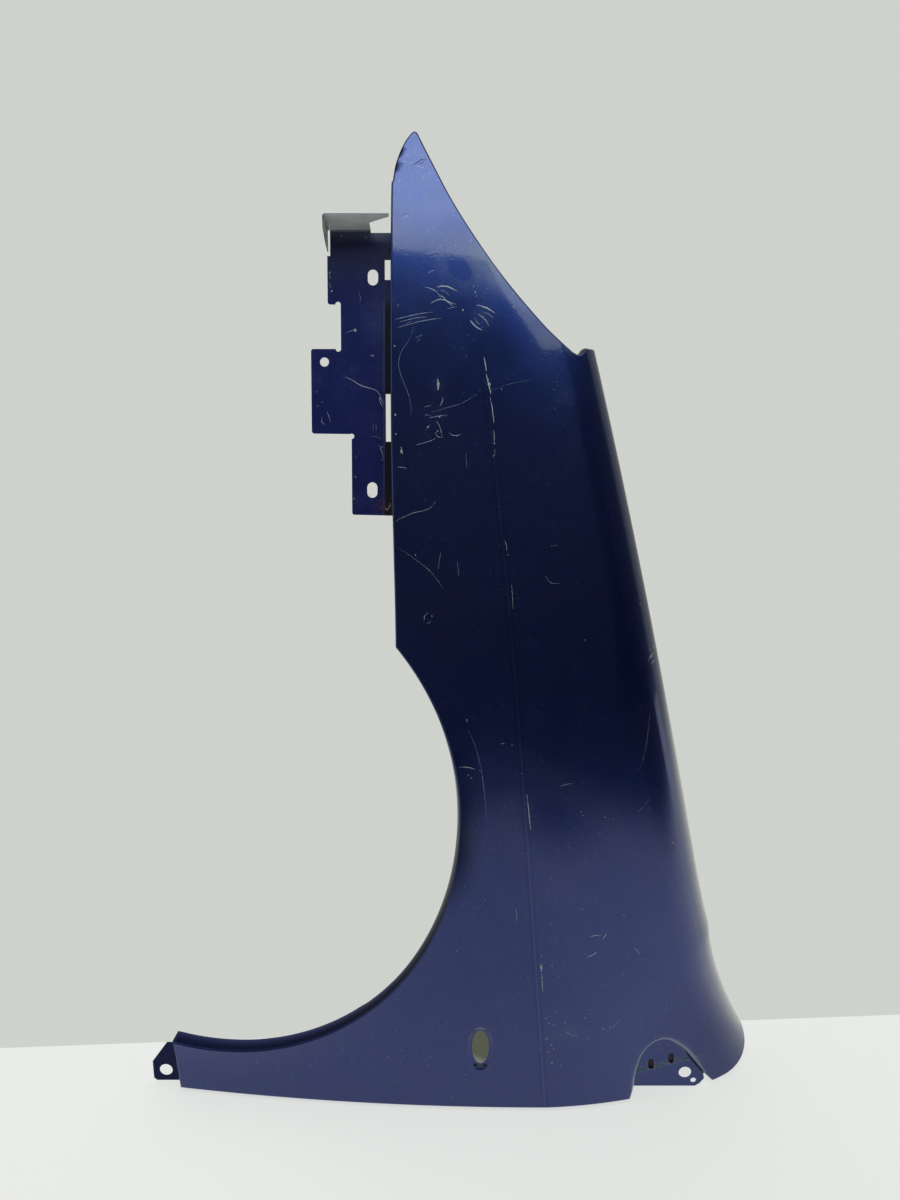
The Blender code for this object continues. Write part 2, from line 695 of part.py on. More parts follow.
def build_sill_tab(sheet, names, flange, frames):
    """The tab that bolts to the end of the sill, turned out from the sill end's flange."""
    run = [i for i, name in enumerate(names) if name == "sill_end"][1:]
    root = [flange[i] for i in run]
    mid, turned = [], []
    for i in run:
        foot, outward, inboard = sheet.points[flange[i]], frames[i][1], frames[i][2]
        mid.append(sheet.corner(foot + outward * FOLD * 0.29 + inboard * FOLD * 0.71))
        turned.append(sheet.corner(foot + outward * FOLD + inboard * FOLD))
    sheet.strip(root, mid)
    sheet.strip(mid, turned)
    depth = sum(sheet.points[i][1] for i in turned) / len(turned)
    flat = [Vector((sheet.points[i][0], sheet.points[i][2])) for i in turned]
    for i in turned:
        sheet.points[i][1] = depth
    edge = flat[-1][0]
    reach = edge - SILL_TAB_REACH
    outer = [(edge - 0.003, SILL_TAB_BOTTOM), (reach + 0.004, SILL_TAB_BOTTOM),
             (reach, SILL_TAB_BOTTOM + 0.004), (reach, SILL_TAB_SHOULDER),
             (edge - SILL_TAB_TOP_REACH, SILL_TAB_TOP), (flat[0][0] - 0.003, SILL_TAB_TOP)]
    outer = [Vector(point) for point in outer]

    def place(x, z):
        return Vector((x, depth, z))

    corners = turned + [sheet.corner(place(*point)) for point in outer]
    hole = arc((reach + SILL_BOLT_IN, SILL_BOLT_Z), (SILL_BOLT_RADIUS, SILL_BOLT_RADIUS), 0,
               360.0 * (HOLE_SIDES - 1) / HOLE_SIDES, HOLE_SIDES - 1)
    sheet.fill(flat + outer, corners, [hole], [], [], place)


def bracket_line():
    """The plate's y at its bottom and its lean, set in from the skin's bumper edge."""
    low = panel_point(BUMPER_EDGE_END, BRACKET_BOTTOM)[1] + BRACKET_DEPTH_LOW
    top = panel_point(BUMPER_EDGE_END, BRACKET_TOP)[1] + BRACKET_DEPTH_TOP
    return low, (top - low) / (BRACKET_TOP - BRACKET_BOTTOM)


def bracket_y(z):
    low, lean = bracket_line()
    return low + lean * (z - BRACKET_BOTTOM)


def bumper_edge_x(z):
    """Height of the skin's bumper edge at z."""
    points = flat_edges()["bumper"]
    for a, b in zip(points, points[1:]):
        if b[1] <= z <= a[1]:
            return a[0] + (b[0] - a[0]) * (z - a[1]) / (b[1] - a[1])
    return BUMPER_EDGE_END


def web_rows(z):
    """The web at the plate's height z: its edge at the skin, its fold, and the plate."""
    flush = FOLD - SKIN_SHEET - LAP_GAP
    lift = 0.0
    for _ in range(3):
        spot, across, _, inboard = panel_frame(bumper_edge_x(z + lift) + FOLD, z + lift)
        near = spot - across * flush + inboard * (FOLD + WEB_LAP)
        lean = bracket_line()[1]
        to_plate = (bracket_y(near[2]) - near[1]) / (inboard[1] - lean * inboard[2])
        meet = near + inboard * to_plate
        lift += z - meet[2]
    sill_ward = Vector((-1.0, 0.0, 0.0))
    return near, meet - inboard * BRACKET_FOLD, meet, meet + sill_ward * BRACKET_FOLD


def build_bracket():
    """A flat plate behind the bumper edge, with an end flange, a side flange and a web."""
    sheet = Sheet()
    count = 24
    stations = [BRACKET_BOTTOM + (BRACKET_TOP - BRACKET_BOTTOM) * i / count
                for i in range(count + 1)]
    for low, high in WEB_WINDOWS:
        stations = [z for z in stations if min(abs(z - low), abs(z - high)) > 0.004]
        stations += [low, high]
    stations.sort()
    edge = []
    previous = None
    for z in stations:
        near, fold, meet, plate = web_rows(z)
        windowed = any(low < z < high for low, high in WEB_WINDOWS)
        edge.append((z, plate, windowed))
        row = [sheet.corner(near), sheet.corner(fold),
               sheet.corner(fold.lerp(plate, 0.5).lerp(meet, 0.41)), sheet.corner(plate)]
        closed = any(low <= z <= high for low, high in WEB_WINDOWS)
        if previous and not (closed and previous[1]):
            sheet.faces.append([previous[0][0], row[0], row[1], previous[0][1]])
            sheet.faces.append([previous[0][1], row[1], row[2], previous[0][2]])
            sheet.faces.append([previous[0][2], row[2], row[3], previous[0][3]])
        previous = (row, closed)

    def place(x, z):
        return Vector((x, bracket_y(z), z))

    right, corners = [], []
    for z, plate, windowed in edge:
        if windowed:
            continue
        for low, high in WEB_WINDOWS:
            if abs(z - high) < 1e-6:
                for x_z in ((plate[0] - WEB_WINDOW_DEPTH, low), (plate[0] - WEB_WINDOW_DEPTH, high)):
                    right.append(Vector(x_z))
                    corners.append(sheet.corner(place(*x_z)))
        right.append(Vector((plate[0], plate[2])))
        corners.append(sheet.corner(plate))
    top_z = right[-1][1]
    left_x = BRACKET_UPPER_X
    fold_end = left_x + END_FLANGE_ROOT
    top = [Vector((fold_end, top_z)), Vector((0.5 * (left_x + fold_end), top_z)),
           Vector((left_x + 0.0035, top_z))]
    left = rounded_left_side(left_x)
    outline = right + top + left
    corners += [sheet.corner(place(*point)) for point in top + left]
    holes = [obround(slot, BRACKET_SLOT_HALF_WIDTH, BRACKET_SLOT_HALF_LENGTH, 14)
             for slot in BRACKET_SLOTS]
    holes.append(arc(BRACKET_HOLE, (BRACKET_HOLE_RADIUS, BRACKET_HOLE_RADIUS), 0, 337.5, 15))
    sheet.fill(outline, corners, holes, [], [], place)
    build_end_flange(sheet, [corners[len(right) + i] for i in range(3)])
    return sheet.make("bumper_bracket", BRACKET_SHEET, Vector((0.0, -1.0, 0.0)))


def rounded_left_side(left_x):
    """The plate's stepped left side, top to bottom, with a round relief in each step."""
    slit = BRACKET_TOP - SIDE_FLANGE_DROP
    points = [Vector((left_x + 0.0035, slit)), Vector((left_x, slit))]
    points += [Vector((left_x, BRACKET_NECK_TOP + BRACKET_CORNER)),
               Vector((left_x + BRACKET_CORNER, BRACKET_NECK_TOP))]
    points += arc((BRACKET_NECK_X - BRACKET_RELIEF, BRACKET_NECK_TOP),
                  (BRACKET_RELIEF, BRACKET_RELIEF), 180, 0, 6)
    points += arc((BRACKET_NECK_X - BRACKET_RELIEF, BRACKET_TAB_TOP),
                  (BRACKET_RELIEF, BRACKET_RELIEF), 0, -180, 6)
    points += [Vector((BRACKET_TAB_X + BRACKET_CORNER, BRACKET_TAB_TOP)),
               Vector((BRACKET_TAB_X, BRACKET_TAB_TOP - BRACKET_CORNER)),
               Vector((BRACKET_TAB_X, BRACKET_LEG_TOP + BRACKET_CORNER)),
               Vector((BRACKET_TAB_X + BRACKET_CORNER, BRACKET_LEG_TOP))]
    points += arc((BRACKET_LEG_X, BRACKET_LEG_TOP - BRACKET_RELIEF),
                  (BRACKET_RELIEF, BRACKET_RELIEF), 125, -90, 7)
    points += [Vector((BRACKET_LEG_X, BRACKET_BOTTOM + 0.003)),
               Vector((BRACKET_LEG_X + 0.002, BRACKET_BOTTOM + 0.001))]
    return points


def build_end_flange(sheet, top):
    """The flange at the plate's front end, turned out to the skin, and its side return."""
    tilt = Vector((0.0, -END_FLANGE_REACH, END_FLANGE_RISE))
    across = tilt.normalized()
    up = Vector((0.0, bracket_line()[1], 1.0)).normalized()
    mid, root = [], []
    for corner in top:
        start = sheet.points[corner]
        mid.append(sheet.corner(start + up * BRACKET_FOLD * 0.71 + across * BRACKET_FOLD * 0.29))
        root.append(sheet.corner(start + up * BRACKET_FOLD + across * BRACKET_FOLD))
    sheet.strip(top, mid)
    sheet.strip(mid, root)
    first, last = sheet.points[root[0]].copy(), sheet.points[root[-1]].copy()
    reach = tilt.length
    tip_x = bumper_edge_x(BRACKET_TOP) - LAP_GAP - 0.001
    outer = [first + across * 0.45 * reach,
             Vector((tip_x, first[1], first[2])) + across * 0.80 * reach,
             Vector((tip_x, first[1], first[2])) + across * (reach - BRACKET_FOLD),
             last + across * (reach - BRACKET_FOLD),
             last + across * 0.5 * reach]
    ring = list(reversed(root)) + [sheet.corner(point) for point in outer]
    sheet.faces.append(ring)
    edge = [ring[-2], ring[-1], ring[0]]
    down = Vector((0.0, 0.0, -1.0))
    out = Vector((-1.0, 0.0, 0.0))
    bend = [sheet.corner(sheet.points[i] + out * BRACKET_FOLD * 0.71 + down * BRACKET_FOLD * 0.29)
            for i in edge]
    side = [sheet.corner(sheet.points[i] + out * BRACKET_FOLD + down * BRACKET_FOLD)
            for i in edge]
    drop = SIDE_FLANGE_DROP - 2.0 * BRACKET_FOLD
    foot = [sheet.corner(sheet.points[i] + down * drop * share)
            for i, share in zip(side, (0.55, 0.9, 1.0))]
    sheet.strip(edge, bend)
    sheet.strip(bend, side)
    sheet.strip(side, foot)


def paint(name, colour, roughness, metallic):
    material = bpy.data.materials.new(name)
    material.use_nodes = True
    shader = material.node_tree.nodes["Principled BSDF"]
    shader.inputs["Base Color"].default_value = (*colour, 1.0)
    shader.inputs["Roughness"].default_value = roughness
    shader.inputs["Metallic"].default_value = metallic
    return material


def main():
    for thing in list(bpy.data.objects):
        bpy.data.objects.remove(thing, do_unlink=True)
    skin = build_skin()
    skin.data.materials.append(paint("skin_paint", (0.010, 0.014, 0.070), 0.25, 0.5))
    bracket = build_bracket()
    bracket.data.materials.append(paint("bracket_paint", (0.010, 0.013, 0.055), 0.35, 0.5))
    bpy.context.view_layer.update()
    graph = bpy.context.evaluated_depsgraph_get()
    corners = []
    for thing in (skin, bracket):
        corners += [Vector(corner) for corner in thing.evaluated_get(graph).bound_box]
    low = [min(corner[i] for corner in corners) for i in range(3)]
    high = [max(corner[i] for corner in corners) for i in range(3)]
    stand = bpy.data.objects.new("stand", None)
    bpy.context.scene.collection.objects.link(stand)
    stand.location = (-0.5 * (low[0] + high[0]), -0.5 * (low[1] + high[1]), -low[2])
    for thing in (skin, bracket):
        thing.parent = stand


main()
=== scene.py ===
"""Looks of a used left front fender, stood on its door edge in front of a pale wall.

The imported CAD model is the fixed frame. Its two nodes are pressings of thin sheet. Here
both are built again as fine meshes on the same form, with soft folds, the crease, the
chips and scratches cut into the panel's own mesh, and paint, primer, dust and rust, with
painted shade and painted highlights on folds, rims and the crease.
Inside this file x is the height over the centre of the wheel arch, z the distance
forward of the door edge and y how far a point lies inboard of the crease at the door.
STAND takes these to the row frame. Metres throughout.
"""

import math

import bpy
import numpy as np
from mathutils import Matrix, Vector, noise
from mathutils.geometry import delaunay_2d_cdt

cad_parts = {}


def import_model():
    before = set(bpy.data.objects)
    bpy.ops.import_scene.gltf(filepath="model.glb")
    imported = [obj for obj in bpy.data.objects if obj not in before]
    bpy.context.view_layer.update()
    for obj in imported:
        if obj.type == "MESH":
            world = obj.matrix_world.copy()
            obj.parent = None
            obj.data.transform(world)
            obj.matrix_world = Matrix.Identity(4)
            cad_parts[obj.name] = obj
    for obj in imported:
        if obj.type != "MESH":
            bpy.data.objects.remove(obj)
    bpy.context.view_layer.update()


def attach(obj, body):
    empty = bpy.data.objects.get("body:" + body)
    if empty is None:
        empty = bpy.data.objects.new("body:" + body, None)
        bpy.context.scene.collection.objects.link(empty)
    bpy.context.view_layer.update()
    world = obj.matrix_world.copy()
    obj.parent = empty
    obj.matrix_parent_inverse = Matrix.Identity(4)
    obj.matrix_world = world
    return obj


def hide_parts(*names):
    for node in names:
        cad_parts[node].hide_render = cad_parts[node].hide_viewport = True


# Place of the form in the row frame, as part.py's stand gives it
STAND = Vector((-0.319286, -0.084259, 0.004231))

# Camera: its place, pitch down in degrees, focal length in the photo's pixels
CAMERA_X = 0.3100
CAMERA_HEIGHT = 0.9200
CAMERA_DISTANCE = 1.00485
CAMERA_PITCH = 13.0
FOCAL_PIXELS = 900.0
PHOTO_WIDTH = 900.0
PHOTO_HEIGHT = 1200.0
SENSOR = 36.0

# How far along a line of sight the panel is looked for, and in how many halvings
SIGHT_NEAR = 0.7
SIGHT_FAR = 1.5
SIGHT_HALVINGS = 34

# Sheet
SKIN_SHEET = 0.0008
BRACKET_SHEET = 0.0012
LAP_GAP = 0.0003
FOLD = 0.0028

# Plan view: how far the crease lies inboard, along the length
PLAN_LENGTH = 1.22
PLAN_TAPER = 0.010
PLAN_SWEEP = 0.130
PLAN_POWER = 3.2

# Crease across the side of the panel
CREASE_AT_DOOR = 0.4373
CREASE_FALL = 0.0783
CREASE_DROP = 0.0152
CREASE_START = 0.985
CREASE_END_HALF = 0.05
CREASE_ROUND = 0.03

# Section across the length
SILL_TUCK = 0.147
CREASE_ANGLE = 0.045
TUMBLEHOME = 0.78
SHOULDER_AT_DOOR = 0.7085
SHOULDER_FALL = 0.2285
SHOULDER_RADIUS = 0.100
SHOULDER_TAPER = 0.045
SHOULDER_BOW = 0.0036
SHOULDER_BOW_LENGTH = 0.930
SHOULDER_FLARE = 0.040
SHOULDER_FLARE_LENGTH = 0.200
SHOULDER_FLARE_POWER = 1.9
SHOULDER_KINK = 0.0045
SHOULDER_KINK_Z = 0.203
SHOULDER_KINK_WIDTH = 0.040
SHOULDER_KINK_ROUND = 0.006

# Wheel arch
SILL_DEPTH = 0.069
ARCH_HEIGHT = 0.3222
ARCH_HALF_LENGTH = 0.338
ARCH_Z = SILL_DEPTH + ARCH_HALF_LENGTH
ARCH_POWER_FRONT = 2.0
ARCH_POWER_REAR = 2.05
ARCH_FLARE = 0.0035
ARCH_FLARE_WIDTH = 0.042
ARCH_LIP = 0.0203
ARCH_LIP_NARROW = 0.0105
LIP_STEP = 0.0025
LIP_STEP_X = 0.203

# Door edge, sill end and hood edge
SILL_END = -0.0563
SILL_END_SLOPE = -0.0050
DOOR_FLANGE = 0.012
CORNER_DIP = 0.004
HOOD_CORNER_Z = 0.021
HOOD_CORNER_POWER = 1.2
HOOD_CORNER_IN = 0.004
HOOD_CORNER_RUN = 0.006
HOOD_FRONT_RISE = 0.0095
CORNER_POINTS = 12
HOOD_POINTS = 40
HOOD_FRONT = 0.9715
GUTTER_DEPTH = 0.011
HOOD_FLANGE = 0.026
HOOD_FLANGE_REAR = 0.045
HOOD_FLANGE_FRONT = 0.935
HOOD_BOLT_RADIUS = 0.0045
HOOD_BOLTS = 5

# Front edges
TIP_X = 0.2685
TIP_Z = 1.2130
TIP_RADIUS = 0.0042
TIP_ARC = (28, 145, 8)
BUMPER_EDGE = ((0.2572, 1.2050), (0.2478, 1.1827), (0.2434, 1.1596), (0.2414, 1.1300),
               (0.2412, 0.880), (0.2435, 0.742))
BUMPER_EDGE_END = 0.2458
HEADLIGHT_EDGE = ((0.4538, 0.9669), (0.4387, 0.9792), (0.4152, 1.0016), (0.3758, 1.0463),
                  (0.3424, 1.0911), (0.3132, 1.1365), (0.2887, 1.1825))
HOOD_NOTCH = (0.4620, 0.9625)
BUMPER_FLANGE = 0.014
HEADLIGHT_FLANGE = 0.009

# Side lamp hole in its oval dish
LAMP_X = 0.3496
LAMP_Z = 0.0900
LAMP_HALF_WIDTH = 0.0110
LAMP_HALF_LENGTH = 0.0247
LAMP_DISH_EDGE = 0.0080
LAMP_DISH_DEPTH = 0.0035
LAMP_DISH_ROUND = 0.55

# Pillar mounting recess, behind a notch in the door edge
RECESS_RIM = ((0.5508, 0.0000), (0.5560, 0.0178), (0.5606, 0.0442), (0.5680, 0.0650),
              (0.5802, 0.0762), (0.5943, 0.0788), (0.6091, 0.0720), (0.6292, 0.0529),
              (0.6455, 0.0296), (0.6600, 0.0100))
RECESS_END = 0.6720
RECESS_Y = 0.0450
RECESS_FOLD = 0.0065
RECESS_JOGGLE = 0.0025
RECESS_JOGGLE_RUN = 0.004
RECESS_STEP_Z = 0.0130
RECESS_STEP_RISE = 0.30
RECESS_TAB_BOTTOM = -0.0040
RECESS_RIGHT_CUT = ((-0.006, 0.004), (-0.012, 0.0))
RECESS_LEFT_CUT = ((0.010, 0.0), (0.004, 0.006))
PILLAR_BOLT = (0.6300, 0.0175)
PILLAR_BOLT_RADIUS = 0.0085
PILLAR_PILOT = (0.6420, 0.0050)
PILLAR_PILOT_RADIUS = 0.0038
RECESS_SLOTS = ((0.5835, 0.0295), (0.6105, 0.0385))
RECESS_SLOT_HALF_WIDTH = 0.0036
RECESS_SLOT_HALF_LENGTH = 0.0068

# Sill tab
SILL_TAB_SET_IN = 0.012
SILL_TAB_REACH = 0.0395
SILL_TAB_TOP = 0.0580
SILL_TAB_SHOULDER = 0.0280
SILL_TAB_BOTTOM = -0.0020
SILL_TAB_TOP_REACH = 0.0180
SILL_BOLT_Z = 0.0145
SILL_BOLT_IN = 0.0175
SILL_BOLT_RADIUS = 0.0088

# Bumper bracket
BRACKET_DEPTH_LOW = 0.0429
BRACKET_DEPTH_TOP = 0.0295
BRACKET_AHEAD_OF_ARCH = 0.0290
BRACKET_LEG = 0.0974
BRACKET_TAB = 0.0991
BRACKET_NECK = 0.0516
BRACKET_UPPER = 0.0822
BRACKET_BOTTOM = ARCH_Z + ARCH_HALF_LENGTH + BRACKET_AHEAD_OF_ARCH
BRACKET_LEG_TOP = BRACKET_BOTTOM + BRACKET_LEG
BRACKET_TAB_TOP = BRACKET_LEG_TOP + BRACKET_TAB
BRACKET_NECK_TOP = BRACKET_TAB_TOP + BRACKET_NECK
BRACKET_TOP = BRACKET_NECK_TOP + BRACKET_UPPER
BRACKET_LEG_X = 0.1914
BRACKET_TAB_X = 0.1435
BRACKET_NECK_X = 0.1795
BRACKET_UPPER_X = 0.1640
BRACKET_RELIEF = 0.0032
BRACKET_CORNER = 0.0030
TOP_SLOT_IN = 0.0511
LOW_SLOT_IN = 0.0306
BRACKET_SLOTS = ((0.2182, BRACKET_TOP - TOP_SLOT_IN), (0.2160, BRACKET_BOTTOM + LOW_SLOT_IN))
BRACKET_SLOT_HALF_WIDTH = 0.0062
BRACKET_SLOT_HALF_LENGTH = 0.0092
BRACKET_HOLE_IN = 0.0152
BRACKET_HOLE = (0.1595, BRACKET_TAB_TOP - BRACKET_HOLE_IN)
BRACKET_HOLE_RADIUS = 0.0054
BRACKET_FOLD = 0.0022
LOW_WINDOW_IN = 0.0879
LOW_WINDOW_LENGTH = 0.0560
TOP_WINDOW_IN = 0.0540
TOP_WINDOW_LENGTH = 0.0230
LOW_WINDOW = BRACKET_BOTTOM + LOW_WINDOW_IN
TOP_WINDOW = BRACKET_TOP - TOP_WINDOW_IN
WEB_WINDOWS = ((LOW_WINDOW, LOW_WINDOW + LOW_WINDOW_LENGTH),
               (TOP_WINDOW, TOP_WINDOW + TOP_WINDOW_LENGTH))
WEB_WINDOW_DEPTH = 0.0085
WEB_LAP = 0.0045
END_FLANGE_REACH = 0.040
END_FLANGE_RISE = 0.0115
END_FLANGE_ROOT = 0.0520
SIDE_FLANGE_DROP = 0.0265

# Trim clips behind the recess plate's slots
CLIP_HALF_WIDTH = 0.0055
CLIP_HALF_LENGTH = 0.0120
CLIP_STEM_SHIFT = 0.0006
CLIP_GAP = 0.0003
CLIP_BACK = 0.0018
CLIP_STEM_PROUD = 0.0004

# Mesh density
PANEL_STEP = 0.0065
EDGE_STEP = 0.0060
FOLD_STEPS = 5
SPLINE_STEPS = 16
HOLE_SIDES = 48
HOOD_HOLE_SIDES = 24
BRACKET_HOLE_SIDES = 36
BEND_STEPS = 4
CHIP_SIDES = 11
CHIP_RAGGED = 0.75
CHIP_LONG = 1.25
SCRATCH_STEP = 0.006
SCRATCH_GRAIN = 160.0
ARCH_POINTS = 200
PLATE_STATIONS = 60
TOP_POINTS = 7

# The even field of inner points, and how clear of other points they stay, in steps
FIELD_LENGTH = 1.24
FIELD_FOOT = -0.07
FIELD_COLUMNS = 135
FIELD_ROW = 0.866
EDGE_CLEAR = 0.45
LINE_CLEAR = 0.40

# How clear of the edge and of the holes a mark stays
MARK_CLEAR = 0.0012
MARK_HOLE_CLEAR = 0.002

# Marks on the panel, placed by where they show in the photo. Scratches and dents are (width
# in mm, x, y, x, y and so on), chips are (x, y, size in mm), with x and y in pixels.
SCRATCHES = (
    (0.8, 393.5, 316.5, 404, 314, 418, 310, 432, 306.5, 442, 303),
    (0.6, 395, 319.5, 409, 316, 421, 313.5, 433, 312),
    (0.6, 404, 326, 414, 323, 424, 320.5, 442, 318), (0.4, 397, 328, 405, 325, 412, 321),
    (1.3, 431, 303, 438, 299.5, 445, 300, 453, 306), (0.9, 441, 295, 447, 301, 456, 304.5),
    (0.9, 425, 287, 431, 288.5, 437, 292), (1.7, 437, 287, 446, 286, 457, 291),
    (1.5, 428, 273, 431, 271, 434, 270), (1.6, 470, 320, 475, 326, 482, 330),
    (1.7, 477, 305, 486, 307.5, 495, 313), (1.1, 478, 314, 485, 319, 489, 326),
    (0.5, 400, 322, 409, 319.5, 418, 317.5, 427, 317), (0.7, 436, 291, 440, 296, 446, 298),
    (0.7, 447, 309, 454, 307, 457, 306.6), (0.6, 440, 290, 444, 291, 449, 295),
    (0.7, 483, 312, 489, 314, 493, 318), (0.6, 474, 317, 477, 322, 480, 325), (0.28, 413.5, 325,
    412, 333.5, 406.5, 343.5, 401, 352, 398.5, 365, 402, 378, 408, 393, 411, 406, 410.5, 416),
    (0.7, 415, 338, 419, 337, 422, 335), (0.6, 417, 341.5, 420, 338.5),
    (2.6, 437.5, 379, 438.5, 384, 438, 390), (0.9, 424, 407, 428, 406.5, 431, 405.5),
    (0.8, 425, 414.5, 428.5, 416, 431, 416), (1.0, 426, 427.5, 430, 425.5),
    (0.7, 440, 406, 442.5, 401, 443, 397), (0.6, 430, 418, 438, 416, 447, 415.5),
    (0.7, 436, 421, 440, 427, 442, 436), (0.8, 435, 432, 438, 437, 443, 437.5),
    (0.8, 449, 433, 455, 436, 461, 434), (0.6, 416, 445, 427, 442, 436, 438.5),
    (0.22, 431, 412.5, 446, 408, 462, 403, 478, 393.5), (0.16, 491, 390, 510, 384, 531, 379.5),
    (1.4, 484, 357, 485.4, 364, 486.3, 371), (2.0, 486, 374, 488, 381, 489.5, 388, 491, 394),
    (1.1, 490, 397, 492, 406, 493, 415, 494, 423), (0.9, 493.8, 430, 494.4, 437, 494.4, 443),
    (0.8, 495, 449, 494.6, 456), (0.8, 393, 452.5, 400, 450, 402.5, 454),
    (1.8, 401, 447, 402, 450.5, 402.6, 454), (0.7, 397, 467, 401, 467.2, 407, 468.3),
    (0.35, 394, 505, 406, 504.5, 418, 506.5, 425, 508),
    (0.5, 396, 521, 404, 517, 413, 513, 424, 510.5, 432, 507, 435.5, 501),
    (0.28, 398, 548, 412, 557, 430, 571, 443, 588), (0.6, 396, 548, 401, 548.6, 408, 548.5),
    (0.25, 441, 552, 439, 562, 438, 572), (0.7, 424, 622, 424.5, 616, 428, 612.5),
    (0.7, 427, 623.5, 431, 621.5), (0.8, 505, 540, 506.5, 546, 507, 551),
    (0.5, 511.6, 585, 512.6, 598, 512.8, 609), (0.3, 545, 576, 551, 583, 560, 583.5),
    (0.7, 551, 546, 557, 545.5), (0.9, 466, 722, 466.7, 718.5, 468, 722),
    (0.28, 467, 729, 472, 738, 477, 752, 481, 768, 483.5, 786, 485.5, 804, 486.3, 822),
    (0.8, 459, 767.5, 467, 767, 475.5, 769.5), (1.2, 501, 744, 502.6, 741.5, 504.4, 743.4),
    (0.4, 560, 786, 567, 784.5, 573, 783), (1.3, 526.8, 794, 528, 804, 529, 814, 530.6, 830),
    (0.7, 463, 814.5, 468, 815, 475, 815), (1.4, 648.5, 661, 650.5, 656.5, 653.5, 652),
    (1.2, 651, 663.5, 654.5, 660), (0.9, 653, 648, 655, 643.5),
    (0.18, 650, 712, 648.5, 728, 645, 752, 639, 771), (0.18, 634, 815, 642, 808, 650, 799),
    (0.8, 541.6, 954, 541.3, 959), (2.2, 541, 964, 541.3, 968, 541.6, 972),
    (1.1, 541.8, 974, 542.2, 982, 542.6, 991), (1.0, 590, 937, 596, 935.3, 601, 935.6),
    (1.2, 602.5, 938.4, 605.5, 935.5, 606.6, 932.5), (1.2, 587, 957.6, 592, 955.2, 597, 952.6),
    (0.7, 634, 948, 637, 950.5, 640, 954.5), (0.5, 606, 1031, 612, 1027.6, 620, 1020),
    (0.4, 565, 1031, 572, 1035, 580, 1036), (0.35, 701, 1016.5, 709, 1015),
    (0.4, 516, 908, 517, 922), (0.2, 457, 560, 459, 577), (0.25, 466, 452, 466.5, 468),
)
CHIPS = (
    (401.5, 451, 2.8), (393.5, 329.5, 1.8), (398, 305.5, 1.3), (463, 310, 1.7), (473.5, 286.5, 1.2),
    (475.3, 292, 1.5), (476.5, 296, 1.2), (394.6, 346, 1.4), (395.5, 415, 1.8), (396, 434, 1.3),
    (438, 384, 3.6), (428, 427, 1.7), (439.5, 416.5, 1.9), (437.5, 431, 1.4), (489, 384, 2.8),
    (488, 379.5, 1.6), (501.5, 389, 1.2), (494.5, 443.5, 1.4), (493.6, 455.5, 1.2),
    (415.5, 555, 1.2), (394.5, 548, 1.2), (432, 616, 1.1), (552, 965.6, 1.3), (541.2, 967, 2.6),
    (556, 1012, 1.3), (545.5, 1018.5, 1.2), (549, 1023, 1.5), (554, 1024.6, 1.3), (565, 1023, 1.1),
    (585.5, 1018, 1.4), (592, 1017, 1.1), (603.5, 1029, 1.5), (609.5, 1027, 1.6),
    (546.5, 1038.6, 1.6), (551.5, 1045, 1.6), (553.5, 1049, 1.4), (548, 1052, 1.5),
    (539, 1049.6, 1.2), (552, 1063, 1.8), (560.5, 1066, 1.0), (582, 909, 1.2), (595.5, 953.4, 2.0),
    (672.5, 843, 1.7), (652, 656.5, 2.4), (650, 649, 1.2), (640, 604, 1.2), (471.5, 778, 1.3),
    (468.5, 775, 1.0), (581, 812, 1.2), (583, 815.5, 1.0), (605, 817.5, 1.1), (613.5, 819.5, 1.1),
    (485, 900, 1.0), (508, 555, 1.0), (352, 1062, 1.1), (278, 1068, 1.0), (402, 1050, 0.9),
    (585, 640, 0.8), (512, 745, 0.9),
)
# Dents are drawn as flat dull dark marks: painted shade in place of their hollows
DENTS = (
    (1.6, 411.5, 165.5, 415, 164.3, 418, 161.5, 421.5, 159.5, 427, 159.8),
    (1.2, 417, 164.8, 421, 163.5, 425, 160.5), (2.2, 397.8, 156.5, 398.2, 152, 400, 150),
    (2.4, 400.5, 148.5, 402, 145.4, 404.5, 143.5), (0.5, 403.5, 209.5, 407, 208.5, 411, 209),
    (0.5, 402, 213.5, 406, 214.6, 410, 213),
)

# Marks on the bracket's plate
PLATE_SCRATCHES = (
    (0.9, 345, 377, 352, 380, 362, 386, 373, 389, 379, 393, 382, 401, 384, 405),
    (0.5, 344.5, 334, 349, 331.5, 354, 330), (0.9, 341, 350, 343.5, 354, 347, 357.5),
    (1.2, 370, 355.5, 374, 355.8), (0.6, 322, 417, 321.5, 422, 325, 425),
    (0.5, 327, 411, 329, 417, 331, 423), (0.5, 359, 293, 360.5, 298, 360, 302),
    (0.7, 373, 424, 373.5, 430), (0.6, 376, 424.5, 376.4, 431), (0.9, 329, 273, 330.5, 279),
    (0.8, 329, 283, 331, 288), (1.0, 331, 294, 333, 300, 336, 303.5),
    (1.0, 379, 398, 380.5, 403, 383, 407), (0.5, 355, 459, 357, 455),
    (0.8, 379, 445, 382, 452, 383.4, 459), (0.4, 371, 436, 378, 437, 382, 439.5),
    (1.0, 387.5, 511, 389, 507, 391, 503.5), (0.9, 384, 512, 388, 514.5),
)
PLATE_CHIPS = (
    (355, 330, 2.8), (372.5, 355.5, 1.6), (380, 398.5, 1.8), (341.6, 236, 1.4), (366, 237, 1.3),
    (330, 272.5, 1.4), (331.6, 291, 1.5), (334, 304, 2.0), (330, 303, 1.6), (354, 452, 4.6),
    (355.5, 477, 1.3), (382, 447, 1.5), (382, 460, 1.4), (354, 499, 1.5), (322, 402, 1.0),
    (317.5, 406, 1.2), (316.8, 392, 0.9), (340, 352, 1.0), (386.5, 509, 1.6),
)

# A wiped clean place in the haze, as photo pixels
WIPED = ((444, 253.5), (452, 254), (459, 255), (465, 259), (468.5, 265.5), (472, 272),
         (470.5, 279), (464, 281.5), (456.5, 278), (449.5, 272), (446.5, 263))

